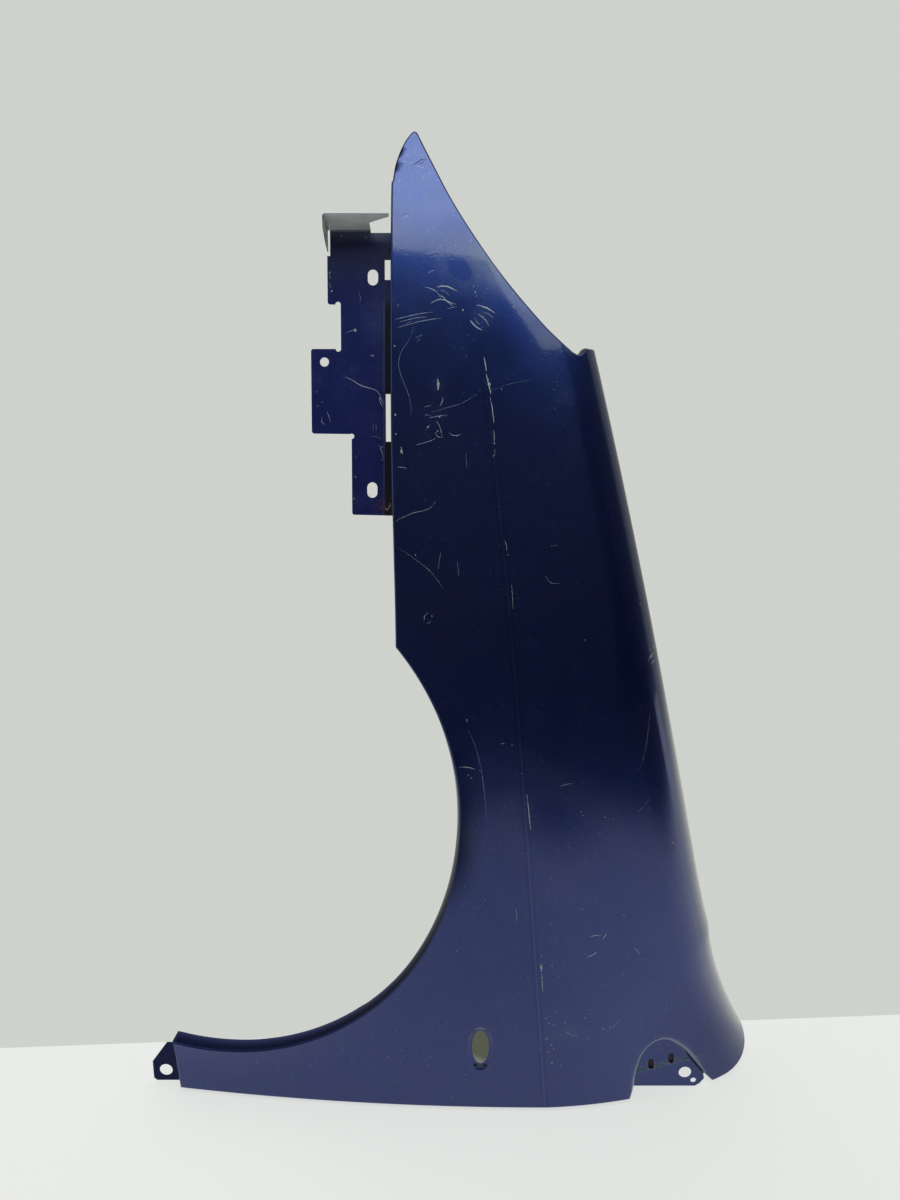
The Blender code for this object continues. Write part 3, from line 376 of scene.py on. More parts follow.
# Haze and rubbed places: photo pixel, half width and half height in metres, strength
HAZES = (
    (484, 268, 0.030, 0.026, 0.75), (446, 264, 0.014, 0.016, 0.25), (482, 318, 0.012, 0.012, 0.25),
    (436, 420, 0.020, 0.024, 0.10), (438, 384, 0.008, 0.010, 0.25),
    (566, 398, 0.010, 0.012, 0.25), (572, 440, 0.010, 0.030, 0.15), (469, 838, 0.010, 0.032, 0.50),
    (566, 1033, 0.018, 0.010, 0.22), (512, 808, 0.010, 0.020, 0.15),
)

# Material numbers of the panel, and the two that mean something else on the bracket
PAINT, INNER, SCRATCH, CHIP, DENT, CLEAN = range(6)
BARE_REFLECTING, WEB = 1, 4

# The bracket: painted highlight on its folds, and the line (photo pixels) beside which painted
# shade darkens its web
FOLD_HIGHLIGHT = 0.16
TOP_FOLD_HIGHLIGHT = 0.45
WEB_LINE = ((384, 302), (384, 525))

# Painted highlight and shade across the crease's ridge line, 0.5 being the paint's own brightness
CREASE_FADE = (0.88, 0.98)
RIDGE_LIGHT_AND_SHADE = ((0.10, 0.50), (0.20, 0.32), (0.32, 0.36), (0.42, 0.69), (0.56, 0.71), (0.66, 0.38),
         (0.78, 0.36), (0.95, 0.50))

# Colours, linear
PAINT_BLUE = (0.0070, 0.0260, 0.180)
PLATE_BLUE = (0.011, 0.023, 0.200)
# Painted shade: the near black of the bracket's web, of the plate beside it and of its upper part
PLATE_SHADE_DARK = (0.010, 0.012, 0.011)
INNER_BLUE = (0.012, 0.016, 0.045)
DUST_GREY = (0.30, 0.31, 0.36)
ROAD_DUST = (0.16, 0.145, 0.125)
# Rubbed paint, and the pale colour of painted highlights on rims, steps, folds and edges
RUBBED_AND_HIGHLIGHT_GREY = (0.25, 0.32, 0.42)
SCRATCH_GREY = (0.54, 0.60, 0.68)
PRIMER_GREY = (0.45, 0.46, 0.48)
BARE_BROWN = (0.16, 0.12, 0.10)
# Painted reflection: the end flange's bare steel drawn nearly white
BARE_REFLECTION_GREY = (0.92, 0.93, 0.92)
BARE_STAIN = (0.66, 0.66, 0.64)
CLIP_DARK = (0.010, 0.009, 0.009)
CLIP_BROWN = (0.085, 0.028, 0.020)
# Painted shade of the dents
DENT_SHADE_BLUE = (0.030, 0.034, 0.085)
RUST_BROWN = (0.16, 0.055, 0.018)
RUST_SPOT = (-0.085, 0.000, 0.785)
FLOOR_COLOUR = (0.79, 0.80, 0.79)
FLOOR_SEEN = (0.85, 0.865, 0.85)
WALL_COLOUR = (0.625, 0.645, 0.605)
AMBIENT = (1.00, 1.01, 1.01)

# Painted shade on the fold and the flange: how much darker each row is drawn, from the face to the
# flange's far edge
EDGE_SHADE = {
    "arch": (0.0, 0.0, 0.1, 0.4, 0.8, 0.95, 0.9, 0.7, 0.35),
    "headlight": (0.0, 0.0, 0.2, 0.7, 0.9, 1.0, 1.0, 1.0, 1.0),
    "tip": (0.0, 0.0, 0.2, 0.6, 0.8, 0.9, 0.9, 0.9, 0.9),
    "bumper": (0.0, 0.0, 0.1, 0.4, 0.8, 0.9, 0.9, 0.9, 0.9),
    "sill_end": (0.0, 0.0, 0.2, 0.6, 0.8, 0.8, 0.8, 0.8, 0.8),
    "notch": (0.0, 0.0, 0.3, 0.7, 0.8, 0.8, 0.8, 0.8, 0.8),
}

# Painted highlight, drawn as rubbed paint, on the recess's rim in the same rows, and along the step
# of its plate
RIM_HIGHLIGHT = (0.10, 0.70, 0.95, 0.95, 0.85, 0.70, 0.50, 0.40, 0.30)
STEP_HIGHLIGHT = 1.0
STEP_HIGHLIGHT_AHEAD = 0.002
STEP_HIGHLIGHT_HALF = 0.0030

# A darker band beside the arch: strength, width, and where it starts, is full and ends
ARCH_SHADE = 0.75
ARCH_SHADE_WIDTH = 0.034
ARCH_SHADE_Z = (0.26, 0.37, 0.54)

# Glint under the lamp hole: half width, half height, distance below the hole, strength
LIP_GLINT = (0.0065, 0.0013, 0.0034, 1.00)

# Painted shade on the sill tab, and dark chips on the bumper edge near the tip, from z to z
TAB_SHADE = 0.80
TIP_CHIPS = ((1.168, 1.182), (1.187, 1.198))
TIP_CHIP_DARK = 0.95

# Shares of dust film, rubbed haze and pale specks in the body paint
FILM_SHARE = 0.06
HAZE_SHARE = 0.30
SPECK_SHARE = 0.30
PLATE_FILM_SHARE = 0.15
STAIN_SHARE = 0.5
INNER_SHARE = 0.55

# Grain of the looks: noise scale, detail and roughness, the ramp's span and what it gives
FLAKE = (1500.0, 2.0, 0.55, 0.3, 0.7, 0.78, 1.22)
PAINT_DUST = (7.0, 5.0, 0.65, 0.42, 0.75)
PAINT_GRAIN = (420.0, 4.0, 0.7, 0.45, 0.70)
PAINT_RUBS = (600.0, 4.0, 0.7, 0.35, 0.60, 0.45, 1.0)
PAINT_ROUGH = (30.0, 3.0, 0.55, 0.3, 0.7, 0.23, 0.29)
COAT_ROUGH = (16.0, 4.0, 0.6, 0.35, 0.65, 0.03, 0.065)
SCRATCH_BREAKS = (450.0, 3.0, 0.7, 0.34, 0.50, 0.25, 1.0)
CHIP_SPOTS = (700.0, 3.0, 0.7, 0.50, 0.70)
INNER_DUST = (9.0, 6.0, 0.7, 0.40, 0.70)
INNER_FINE = (160.0, 5.0, 0.75, 0.40, 0.68)
RUST_SPECKS = (230.0, 5.0, 0.75, 0.48, 0.60)
PLATE_DUST = (18.0, 6.0, 0.7, 0.45, 0.75)
PLATE_FINE = (340.0, 4.0, 0.7, 0.45, 0.7)
BARE_STAINS = (60.0, 5.0, 0.65, 0.40, 0.70)
SKY_MOTTLE = (4.0, 3.0, 0.6, 0.30, 0.70, 0.86, 1.10)
PAINT_SPECKS = (480.0, 2.0, 0.4, 0.70, 0.76)

# Streaks along the haze: stretch of the object's axes, noise, and what the ramp gives
STREAK_STRETCH = (1.0, 1.0, 0.30)
STREAKS = (38.0, 5.0, 0.7)
STREAK_SPAN = (0.30, 0.60, 0.35, 1.0)

# Fine relief: noise scale, strength and depth
FLAKE_RELIEF = (900.0, 0.10, 0.0003)
PEEL_RELIEF = (300.0, 0.05, 0.0006)

# What painted shade, or a dark chip, leaves of the paint, the coat and the gloss
DARK_PAINT = (1.0, 0.15)
DARK_COAT = (1.0, 0.05)
DARK_GLOSS = (0.5, 0.1)
METALLIC = 0.85
WORN_ROUGH = 0.3

# Bracket: painted shade on the web's face and a painted highlight on its edge beside WEB_LINE,
# painted shade on the upper part and a painted highlight on the pale top, as offsets in metres and
# shares
WEB_EDGE = (-0.002, 0.004)
WEB_END = (0.006, -0.006)
WEB_EDGE_HIGHLIGHT = ((0.15, 0.0), (0.34, 0.30), (0.52, 0.0))
WEB_FACE_SHADE = ((0.42, 0.0), (0.62, 0.88))
UPPER_SHADE = (-0.020, 0.045, 0.0, 0.55)
CROWN_HIGHLIGHT = (-0.012, -0.001, 0.0, 0.22)
RUST_RADIUS = 0.030

# Stage, in the row frame: floor, flags in front, side wall and light panel stand round one
# point, at azimuths in degrees from straight in front
STAGE_EYE = Vector((-0.02, -0.06, 1.05))
FLAG_AZIMUTHS = (-60, -40, -20, 0, 20, 40, 60, 80, 100, 108)
FLAG_FURTHEST = 2.0
FLAG_FOOT = -0.01
SIDE_AZIMUTHS = (108, 130, 152)
SIDE_FOOT = -2.0
SIDE_HEAD = 5.0
SKY_FOOT_AZIMUTHS = (-26, -15, 0, 13, 20, 28, 36)
SKY_HEAD_AZIMUTHS = (36, 15, -10, -26)
SKYLINE_BEND = 13
SKYLINE_RUN = 15.0
FLOOR_REAR = 0.0689
FLOOR_SIDE = 5.5
FLOOR_SLOPE = 0.0539
FLOOR_BEYOND = 0.1
FLOOR_BUMP = ((0.0, 0.19), (0.18, 0.19))
FLAG_AWAY = 2.20
FLAG_GREY = 0.115
FLAG_DARK = 0.055
FLAG_TURN = 40
SIDE_AWAY = 4.40
SKY_AWAY = 2.20
SKY_TOP = 62.0
SKYLINE = 38.8
SKY_DROP = 13.0
SKY_STRENGTH = 3.7
SKY_LIGHT = (0.95, 1.04, 0.86)

# How bright the floor, the light panel and the side wall are: (place in a span, share)
FLOOR_SPAN = 2.4
FLOOR_FADE = ((0.09, 1.0), (0.17, 0.92), (0.40, 0.86), (0.445, 0.78), (0.51, 0.50), (0.59, 0.22),
              (0.83, 0.10))
SIDE_START = 1.2
SIDE_SPAN = 1.4
SIDE_FADE = ((0.12, 1.0), (0.32, 0.72), (0.48, 0.40), (0.62, 0.20), (0.86, 0.07))
SKY_LOW = 2.78
SKY_SPAN = 0.60
SKY_FADE = ((0.0, 0.72), (0.25, 0.80), (0.45, 0.90), (0.80, 1.0))
WALL_SPAN = (-2.0, 2.0)
WALL_FADE = ((0.28, 0.66), (0.36, 0.52), (0.43, 0.34), (0.52, 0.25), (1.0, 0.25))
WALL_TINT = (1.0, 1.02, 0.90)

# The floor's own glow: its share, and its level in gloss and to the eye
FLOOR_SEEN_SHARE = 0.7
FLOOR_LEVELS = (0.86, 1.04)

# Painted shadows on the floor that make it dimmer in what the paint mirrors (LEFT: the share that
# is left), the dimming across x, and the olive painted shadow behind the panel
DIM_SPOT = (0.45, -1.12, 0.0)
DIM_WIDTH = 0.36
DIM_LEFT = 0.35
NEAR_SPOT = (0.47, -0.01, 0.0)
NEAR_WIDTH = 0.22
NEAR_LEFT = 0.72
FLOOR_SIDE_DIM = (0.10, 0.30, 0.86, 1.0)
SHADE_SPOT = (0.075, 0.085, 0.0)
SHADE_WIDTH = 0.175
SHADE_EDGE = (0.15, 0.55)
SHADE_OLIVE = (0.105, 0.110, 0.075)


def smooth_step(value):
    value = min(max(value, 0.0), 1.0)
    return value * value * (3.0 - 2.0 * value)


def plan_y(z):
    """How far the crease lies inboard at z."""
    share = max(z, 0.0) / PLAN_LENGTH
    return PLAN_TAPER * share + PLAN_SWEEP * share ** PLAN_POWER


def crease_x(z):
    return CREASE_AT_DOOR - CREASE_FALL * z - CREASE_DROP * max(z, 0.0) ** 4


def shoulder_x(z):
    """Height of the highest point of the section at z."""
    flare = max(1.0 - max(z, 0.0) / SHOULDER_FLARE_LENGTH, 0.0)
    share = max(z, 0.0) / SHOULDER_BOW_LENGTH
    bow = 4.0 * SHOULDER_BOW * share * (1.0 - share)
    away = math.hypot(z - SHOULDER_KINK_Z, SHOULDER_KINK_ROUND) - SHOULDER_KINK_ROUND
    kink = SHOULDER_KINK * math.exp(-away / SHOULDER_KINK_WIDTH)
    return (SHOULDER_AT_DOOR - SHOULDER_FALL * z + bow + kink
            + SHOULDER_FLARE * flare ** SHOULDER_FLARE_POWER)


def shoulder_arc(z):
    """Start height, start slope angle, start y and radius of the shoulder's arc at z."""
    radius = SHOULDER_RADIUS - SHOULDER_TAPER * z
    top, crease = shoulder_x(z), crease_x(z)
    across = top - crease - radius
    for _ in range(12):
        angle = math.atan(CREASE_ANGLE + 2.0 * TUMBLEHOME * across)
        across = top - crease - radius * (1.0 - math.sin(angle))
    y = plan_y(z) + CREASE_ANGLE * across + TUMBLEHOME * across * across
    return crease + across, angle, y, radius


def hood_edge_p(z):
    start, angle, _, radius = shoulder_arc(z)
    return start + radius * (math.pi / 2.0 - angle)


def p_of_x(x, z):
    """The flat coordinate p of a point of the panel at height x."""
    start, angle, _, radius = shoulder_arc(z)
    if x <= start:
        return x
    turn = math.asin(min(1.0 - (shoulder_x(z) - x) / radius, 1.0))
    return start + radius * (turn - angle)


def arch_distance(x, z):
    """Roughly how far a point lies outside the wheel arch."""
    reach = math.hypot(x / ARCH_HEIGHT, (z - ARCH_Z) / ARCH_HALF_LENGTH)
    return (reach - 1.0) * ARCH_HEIGHT


def lamp_dish(x, z):
    """Depth of the dish round the side lamp."""
    across = math.hypot((x - LAMP_X) / LAMP_HALF_WIDTH, (z - LAMP_Z) / LAMP_HALF_LENGTH)
    wide = math.hypot((x - LAMP_X) / (LAMP_HALF_WIDTH + LAMP_DISH_EDGE),
                      (z - LAMP_Z) / (LAMP_HALF_LENGTH + LAMP_DISH_EDGE))
    if wide >= 1.0:
        return 0.0
    if across <= 1.0:
        return LAMP_DISH_DEPTH
    rounding = LAMP_DISH_ROUND * (across - 1.0)
    return LAMP_DISH_DEPTH * smooth_step((1.0 - wide) / (1.0 - wide + rounding))


def panel_point(p, z):
    """The body form: a point of the panel's outer face."""
    start, angle, start_y, radius = shoulder_arc(z)
    if p > start:
        turn = angle + (p - start) / radius
        x = start + radius * (math.sin(turn) - math.sin(angle))
        y = start_y + radius * (math.cos(angle) - math.cos(turn))
        return Vector((x, y, z))
    across = p - crease_x(z)
    y = plan_y(z)
    if across > 0.0:
        step = CREASE_ANGLE * smooth_step((CREASE_START + CREASE_END_HALF - z)
                                          / (2.0 * CREASE_END_HALF))
        y += CREASE_ANGLE * across + TUMBLEHOME * across * across
        y += (step - CREASE_ANGLE) * across * math.exp(-across / CREASE_ROUND)
    else:
        y += SILL_TUCK * across * across
    near = arch_distance(p, z) / ARCH_FLARE_WIDTH
    if near < 1.0:
        y -= ARCH_FLARE * (1.0 - near) ** 2
    return Vector((p, y + lamp_dish(p, z), z))


def panel_frame(p, z):
    """Point, unit tangents across and along, and the inboard normal."""
    small = 0.0005
    across = (panel_point(p + small, z) - panel_point(p - small, z)).normalized()
    along = (panel_point(p, z + small) - panel_point(p, z - small)).normalized()
    inboard = along.cross(across).normalized()
    return panel_point(p, z), across, along, inboard


def spline(points, step):
    """Points at even steps on a smooth curve through the given ones, ends included."""
    ends = [2.0 * Vector(points[0]) - Vector(points[1])]
    ends += [Vector(point) for point in points]
    ends.append(2.0 * Vector(points[-1]) - Vector(points[-2]))
    fine = []
    for a, b, c, d in zip(ends, ends[1:], ends[2:], ends[3:]):
        for i in range(SPLINE_STEPS):
            t = i / SPLINE_STEPS
            fine.append(0.5 * (2.0 * b + (c - a) * t + (2.0 * a - 5.0 * b + 4.0 * c - d) * t * t
                               + (3.0 * b - a - 3.0 * c + d) * t ** 3))
    fine.append(ends[-2])
    return even_steps(fine, step)


def even_steps(points, step):
    """The polyline resampled to equal steps of about the given length, ends kept."""
    points = [Vector(point) for point in points]
    lengths = [0.0]
    for a, b in zip(points, points[1:]):
        lengths.append(lengths[-1] + (b - a).length)
    count = max(1, round(lengths[-1] / step))
    result = [points[0]]
    spot = 1
    for i in range(1, count):
        want = lengths[-1] * i / count
        while lengths[spot] < want:
            spot += 1
        share = (want - lengths[spot - 1]) / (lengths[spot] - lengths[spot - 1])
        result.append(points[spot - 1].lerp(points[spot], share))
    result.append(points[-1])
    return result


def arc(centre, radii, start, end, count):
    """Points on an ellipse's arc, angles in degrees."""
    points = []
    for i in range(count + 1):
        angle = math.radians(start + (end - start) * i / count)
        points.append(Vector((centre[0] + radii[0] * math.cos(angle),
                              centre[1] + radii[1] * math.sin(angle))))
    return points


def round_hole(centre, wide, high=None, sides=HOLE_SIDES):
    """A round or oval hole as a closed loop."""
    return arc(centre, (wide, high or wide), 0, 360.0 * (sides - 1) / sides, sides - 1)


def obround(centre, half_width, half_length, sides):
    """A slot along z with round ends."""
    straight = half_length - half_width
    ends = ((centre[1] + straight, 0), (centre[1] - straight, 180))
    return [point for z, start in ends for point in
            arc((centre[0], z), (half_width, half_width), start, start + 180, sides // 2)]


def rounded(point):
    return tuple(round(value, 6) for value in point)


def link_object(name, points, faces, materials, kinds=None):
    """A mesh object in the scene, from points in the row frame."""
    mesh = bpy.data.meshes.new(name)
    mesh.from_pydata(points, [], faces)
    for material in materials:
        mesh.materials.append(material)
    if kinds:
        mesh.polygons.foreach_set("material_index", kinds)
    mesh.update()
    thing = bpy.data.objects.new(name, mesh)
    bpy.context.scene.collection.objects.link(thing)
    return thing


class Sheet:
    """A bent sheet's outer face: corners with exact normals, faces and material numbers."""

    def __init__(self):
        self.points = []
        self.normals = []
        self.faces = []
        self.kinds = []
        self.known = {}
        self.wear_and_highlight = {}
        self.painted_shade_and_chips = {}

    def corner(self, point, normal):
        key = rounded(point)
        if key not in self.known:
            self.known[key] = len(self.points)
            self.points.append(Vector(point))
            self.normals.append(Vector(normal).normalized())
        return self.known[key]

    def flat(self, corners):
        """The corners' places seen from the side, as (x, z)."""
        return [Vector((self.points[i][0], self.points[i][2])) for i in corners]

    def strips(self, rows, closed=False):
        for first, second in zip(rows, rows[1:]):
            self.strip(first, second, closed)

    def strip(self, first, second, closed=False, kind=PAINT):
        pairs = list(zip(first, second))
        if closed:
            pairs.append(pairs[0])
        for (a, b), (c, d) in zip(pairs, pairs[1:]):
            ring = [corner for i, corner in enumerate((a, c, d, b))
                    if corner not in (a, c, d, b)[:i]]
            if len(ring) > 2:
                self.faces.append(ring)
                self.kinds.append(kind)

    def fill(self, outline, corners, holes, lines, spots, place, patches=()):
        """Triangles over a flat region. place gives a point and normal; patches are
        (loop, kind) and set the material number of what lies inside them."""
        flat = [Vector(point) for point in outline]
        made = list(corners)
        edges = [(i, (i + 1) % len(outline)) for i in range(len(outline))]
        for loop in list(holes) + [loop for loop, _ in patches]:
            first = len(flat)
            flat += loop
            edges += [(first + i, first + (i + 1) % len(loop)) for i in range(len(loop))]
        for line in lines:
            first = len(flat)
            flat += line
            edges += [(first + i, first + i + 1) for i in range(len(line) - 1)]
        flat += spots
        made += [None] * (len(flat) - len(made))
        found, _, triangles, origins, _, _ = delaunay_2d_cdt(flat, edges, [], 1, 1e-7)
        index = []
        for spot, origin in zip(found, origins):
            known = [made[i] for i in origin if made[i] is not None]
            source = flat[min(origin)] if origin else spot
            index.append(known[0] if known else self.corner(*place(*source)))
        spread = np.array([tuple(spot) for spot in found])
        centres = spread[np.array(triangles)].mean(axis=1)
        keep = np.ones(len(triangles), bool)
        for hole in holes:
            keep &= ~inside_many(centres, hole)
        kinds = np.full(len(triangles), PAINT)
        for loop, patch in patches:
            kinds[inside_many(centres, loop)] = patch
        for triangle, wanted, number in zip(triangles, keep, kinds):
            face = [index[i] for i in triangle]
            if wanted and len(set(face)) == 3:
                self.faces.append(face)
                self.kinds.append(int(number))

    def outer_side(self):
        """Turns every face so that it winds with its corners' normals."""
        for face in self.faces:
            a, b, c = (self.points[i] for i in face[:3])
            want = sum((self.normals[i] for i in face), Vector())
            if (b - a).cross(c - a).dot(want) < 0.0:
                face.reverse()

    def make(self, name, thickness, inner_kind, materials):
        """The mesh object: outer face, inner face and the cut edges between them."""
        self.outer_side()
        count = len(self.points)
        points = self.points + [point - normal * thickness
                                for point, normal in zip(self.points, self.normals)]
        faces = [list(face) for face in self.faces]
        loops = [self.normals[i] for face in self.faces for i in face]
        kinds = list(self.kinds)
        for face in self.faces:
            back = [i + count for i in reversed(face)]
            faces.append(back)
            kinds.append(inner_kind)
            loops += [-self.normals[i - count] for i in back]
        places = {}
        for i, point in enumerate(self.points):
            places.setdefault(rounded(point), []).append(i)
        same = {i: group[0] for group in places.values() for i in group}
        seen = {}
        for face in self.faces:
            for a, b in zip(face, face[1:] + face[:1]):
                key = (min(same[a], same[b]), max(same[a], same[b]))
                seen.setdefault(key, []).append((a, b))
        for uses in seen.values():
            if len(uses) == 1:
                a, b = uses[0]
                ring = [b, a, a + count, b + count]
                side = (points[a] - points[b]).cross(points[b + count] - points[b])
                faces.append(ring)
                kinds.append(PAINT)
                loops += [side.normalized()] * 4
        thing = link_object(name, [point + STAND for point in points], faces, materials, kinds)
        mesh = thing.data
        mesh.polygons.foreach_set("use_smooth", [True] * len(faces))
        for title, values in sheet_values(self).items():
            layer = mesh.attributes.new(title, "FLOAT", "POINT")
            layer.data.foreach_set("value", list(values) + list(values))
        mesh.update()
        mesh.normals_split_custom_set([tuple(normal) for normal in loops])
        return thing


def inside_many(points, loop):
    """For many flat points at once, whether each lies inside a closed loop."""
    points = np.asarray(points, float)
    hit = np.zeros(len(points), bool)
    ring = np.array([tuple(point) for point in loop])
    low, high = ring.min(axis=0), ring.max(axis=0)
    near = np.flatnonzero(((points >= low) & (points <= high)).all(axis=1))
    if not len(near):
        return hit
    px, py = points[near, 0], points[near, 1]
    found = np.zeros(len(near), bool)
    for a, b in zip(ring, np.roll(ring, -1, axis=0)):
        if a[1] == b[1]:
            continue
        crosses = (a[1] > py) != (b[1] > py)
        at = a[0] + (py - a[1]) / (b[1] - a[1]) * (b[0] - a[0])
        found ^= crosses & (px < at)
    hit[near] = found
    return hit


def distance_many(points, loop, closed=True):
    """For many flat points at once, the distance to a polyline."""
    points = np.asarray(points, float)
    best = np.full(len(points), 1.0)
    ring = np.array([tuple(point) for point in loop])
    ends = np.roll(ring, -1, axis=0) if closed else ring[1:]
    for a, b in zip(ring, ends):
        side = b - a
        long = max(float(side @ side), 1e-12)
        share = np.clip((points - a) @ side / long, 0.0, 1.0)
        away = points - a - share[:, None] * side
        best = np.minimum(best, np.hypot(away[:, 0], away[:, 1]))
    return best


def panel_place(p, z):
    spot, _, _, inboard = panel_frame(p, z)
    return spot, -inboard


def sight(column, row):
    """The camera's place and the direction of its line of sight through a photo pixel."""
    pitch = math.radians(CAMERA_PITCH)
    right = (column - PHOTO_WIDTH / 2.0) / FOCAL_PIXELS
    down = (row - PHOTO_HEIGHT / 2.0) / FOCAL_PIXELS
    ray = Vector((right, math.cos(pitch) - down * math.sin(pitch),
                  -math.sin(pitch) - down * math.cos(pitch)))
    return Vector((CAMERA_X, -CAMERA_DISTANCE, CAMERA_HEIGHT)), ray


def spot_in_photo(column, row):
    """Where the line of sight through a photo pixel meets the panel, as (p, z)."""
    eye, ray = sight(column, row)
    low, high = SIGHT_NEAR, SIGHT_FAR
    for _ in range(SIGHT_HALVINGS):
        middle = 0.5 * (low + high)
        point = eye + ray * middle
        top = shoulder_x(point[2])
        p = p_of_x(min(point[0], top), point[2])
        behind = point[0] >= top or point[1] > panel_point(p, point[2])[1]
        low, high = (low, middle) if behind else (middle, high)
    point = eye + ray * low
    return Vector((p_of_x(min(point[0], shoulder_x(point[2])), point[2]), point[2]))


def plate_spot(column, row):
    """Where the line of sight through a photo pixel meets the plate, as (x, z)."""
    eye, ray = sight(column, row)
    low, lean = bracket_line()
    reach = (low + lean * (eye[2] - BRACKET_BOTTOM) - eye[1]) / (ray[1] - lean * ray[2])
    point = eye + ray * reach
    return Vector((point[0], point[2]))


def scratch_loop(width, *numbers, find):
    """A long thin closed loop round a scratch, given as width in mm and photo pixels."""
    path = spline([find(*pixel) for pixel in zip(numbers[::2], numbers[1::2])], SCRATCH_STEP)
    left, right = [], []
    for i, point in enumerate(path):
        along = (path[min(i + 1, len(path) - 1)] - path[max(i - 1, 0)]).normalized()
        side = Vector((-along[1], along[0]))
        share = i / (len(path) - 1)
        swell = 0.00025 + math.sin(math.pi * min(max(share, 0.04), 0.96)) ** 0.5
        swell *= 0.75 + 0.5 * noise.noise(Vector((point[0], point[1], 0.0)) * SCRATCH_GRAIN)
        half = 0.0005 * width * max(swell, 0.15)
        left.append(point + side * half)
        right.append(point - side * half)
    return left + right[::-1]


def chip_loop(column, row, size, find):
    """A small ragged closed loop round a chip: photo pixel and size in mm."""
    centre = find(column, row)
    loop = []
    for i in range(CHIP_SIDES):
        angle = 2.0 * math.pi * i / CHIP_SIDES
        ragged = noise.noise(Vector((column, row, 1.9 * i)) * 0.731)
        reach = 0.0005 * size * (1.0 + CHIP_RAGGED * ragged)
        loop.append(centre + reach * Vector((math.cos(angle), CHIP_LONG * math.sin(angle))))
    return loop


def arch_edge():
    """The wheel arch, from the bumper edge round to the sill end, a little fuller at the rear."""
    start = math.acos((BUMPER_EDGE_END / ARCH_HEIGHT) ** (ARCH_POWER_FRONT / 2.0))
    beyond = -(SILL_END + SILL_END_SLOPE) / ARCH_HEIGHT
    end = -math.pi + math.acos(beyond ** (ARCH_POWER_REAR / 2.0))
    points = []
    for i in range(ARCH_POINTS + 1):
        angle = start + (end - start) * i / ARCH_POINTS
        power = 2.0 / (ARCH_POWER_FRONT if angle > 0.0 else ARCH_POWER_REAR)
        across = math.copysign(abs(math.cos(angle)) ** power, math.cos(angle))
        along = math.copysign(abs(math.sin(angle)) ** power, math.sin(angle))
        points.append(Vector((ARCH_HEIGHT * across, ARCH_Z + ARCH_HALF_LENGTH * along)))
    return even_steps(points, EDGE_STEP)


def flat_edges():
    """The panel's outline in (p, z) as named stretches, each ending where the next begins."""
    arch = arch_edge()
    tip = arc((TIP_X, TIP_Z), (TIP_RADIUS, TIP_RADIUS), *TIP_ARC)
    corner_z = -CORNER_DIP
    rear = [(RECESS_END, corner_z)]
    for i in range(1, CORNER_POINTS + 1):
        share = i / CORNER_POINTS
        z = corner_z + (HOOD_CORNER_Z - corner_z) * share ** HOOD_CORNER_POWER
        rear.append((RECESS_END + (hood_edge_p(z) - HOOD_CORNER_IN - RECESS_END) * share, z))
    hood = []
    for i in range(HOOD_POINTS + 1):
        z = HOOD_CORNER_Z + HOOD_CORNER_RUN
        z += (HOOD_FRONT - HOOD_CORNER_Z - HOOD_CORNER_RUN) * i / HOOD_POINTS
        hood.append((hood_edge_p(z), z))
    notch_p = p_of_x(*HOOD_NOTCH)
    front_top = p_of_x(HOOD_NOTCH[0] + HOOD_FRONT_RISE, HOOD_FRONT)
    start = HEADLIGHT_EDGE[0]
    headlight = [(p_of_x(x, z), z) for x, z in HEADLIGHT_EDGE]
    return {
        "door": even_steps([(SILL_END, 0.0), RECESS_RIM[0]], EDGE_STEP),
        "recess": spline(RECESS_RIM, 0.6 * EDGE_STEP),
        "recess_end": even_steps([RECESS_RIM[-1], (RECESS_END, corner_z)], EDGE_STEP),
        "rear": even_steps(rear, 0.8 * EDGE_STEP),
        "hood_corner": even_steps([rear[-1], hood[0]], EDGE_STEP),
        "hood": even_steps(hood, 1.2 * EDGE_STEP),
        "hood_front": even_steps([hood[-1], (front_top, HOOD_FRONT)], EDGE_STEP),
        "notch": even_steps([(front_top, HOOD_FRONT), (notch_p, HOOD_NOTCH[1]),
                             (p_of_x(*start), start[1])], 0.007),
        "headlight": spline(headlight + [tip[0]], EDGE_STEP),
        "tip": tip,
        "bumper": spline([tip[-1]] + list(BUMPER_EDGE) + [(BUMPER_EDGE_END, arch[0][1])],
                         EDGE_STEP),
        "arch": arch,
        "sill_end": even_steps([arch[-1], (SILL_END, 0.0)], 0.012),
    }


FLANGE_WIDTHS = {
    "door": DOOR_FLANGE, "recess": None, "recess_end": 0.004, "rear": 0.006,
    "hood_corner": 0.005, "hood": GUTTER_DEPTH, "hood_front": 0.005, "notch": 0.005,
    "headlight": HEADLIGHT_FLANGE, "tip": 0.005, "bumper": BUMPER_FLANGE, "arch": ARCH_LIP,
    "sill_end": SILL_TAB_SET_IN,
}


def mitre(before, point, after):
    """Outward direction at an outline point, long enough to keep both sides' distance."""
    first = (point - before).normalized()
    second = (after - point).normalized()
    first = Vector((first[1], -first[0]))
    second = Vector((second[1], -second[0]))
    return (first + second) / (1.0 + first.dot(second))


def fold_radii(names):
    """The fold's radius at each outline point: wider round the recess."""
    radii = [FOLD] * len(names)
    rim = [i for i, name in enumerate(names) if name == "recess"]
    for place, i in enumerate(rim):
        share = place / len(rim)
        radii[i] += (RECESS_FOLD - FOLD) * smooth_step(6.0 * min(share, 1.0 - share))
    return radii


def lip_width(x):
    """Width of the arch's lip behind the crown, narrower toward the sill, with one step."""
    narrow = smooth_step(4.0 * (1.0 - x / ARCH_HEIGHT))
    step = smooth_step((LIP_STEP_X - x) / 0.005)
    return ARCH_LIP + (ARCH_LIP_NARROW - ARCH_LIP) * narrow + LIP_STEP * step


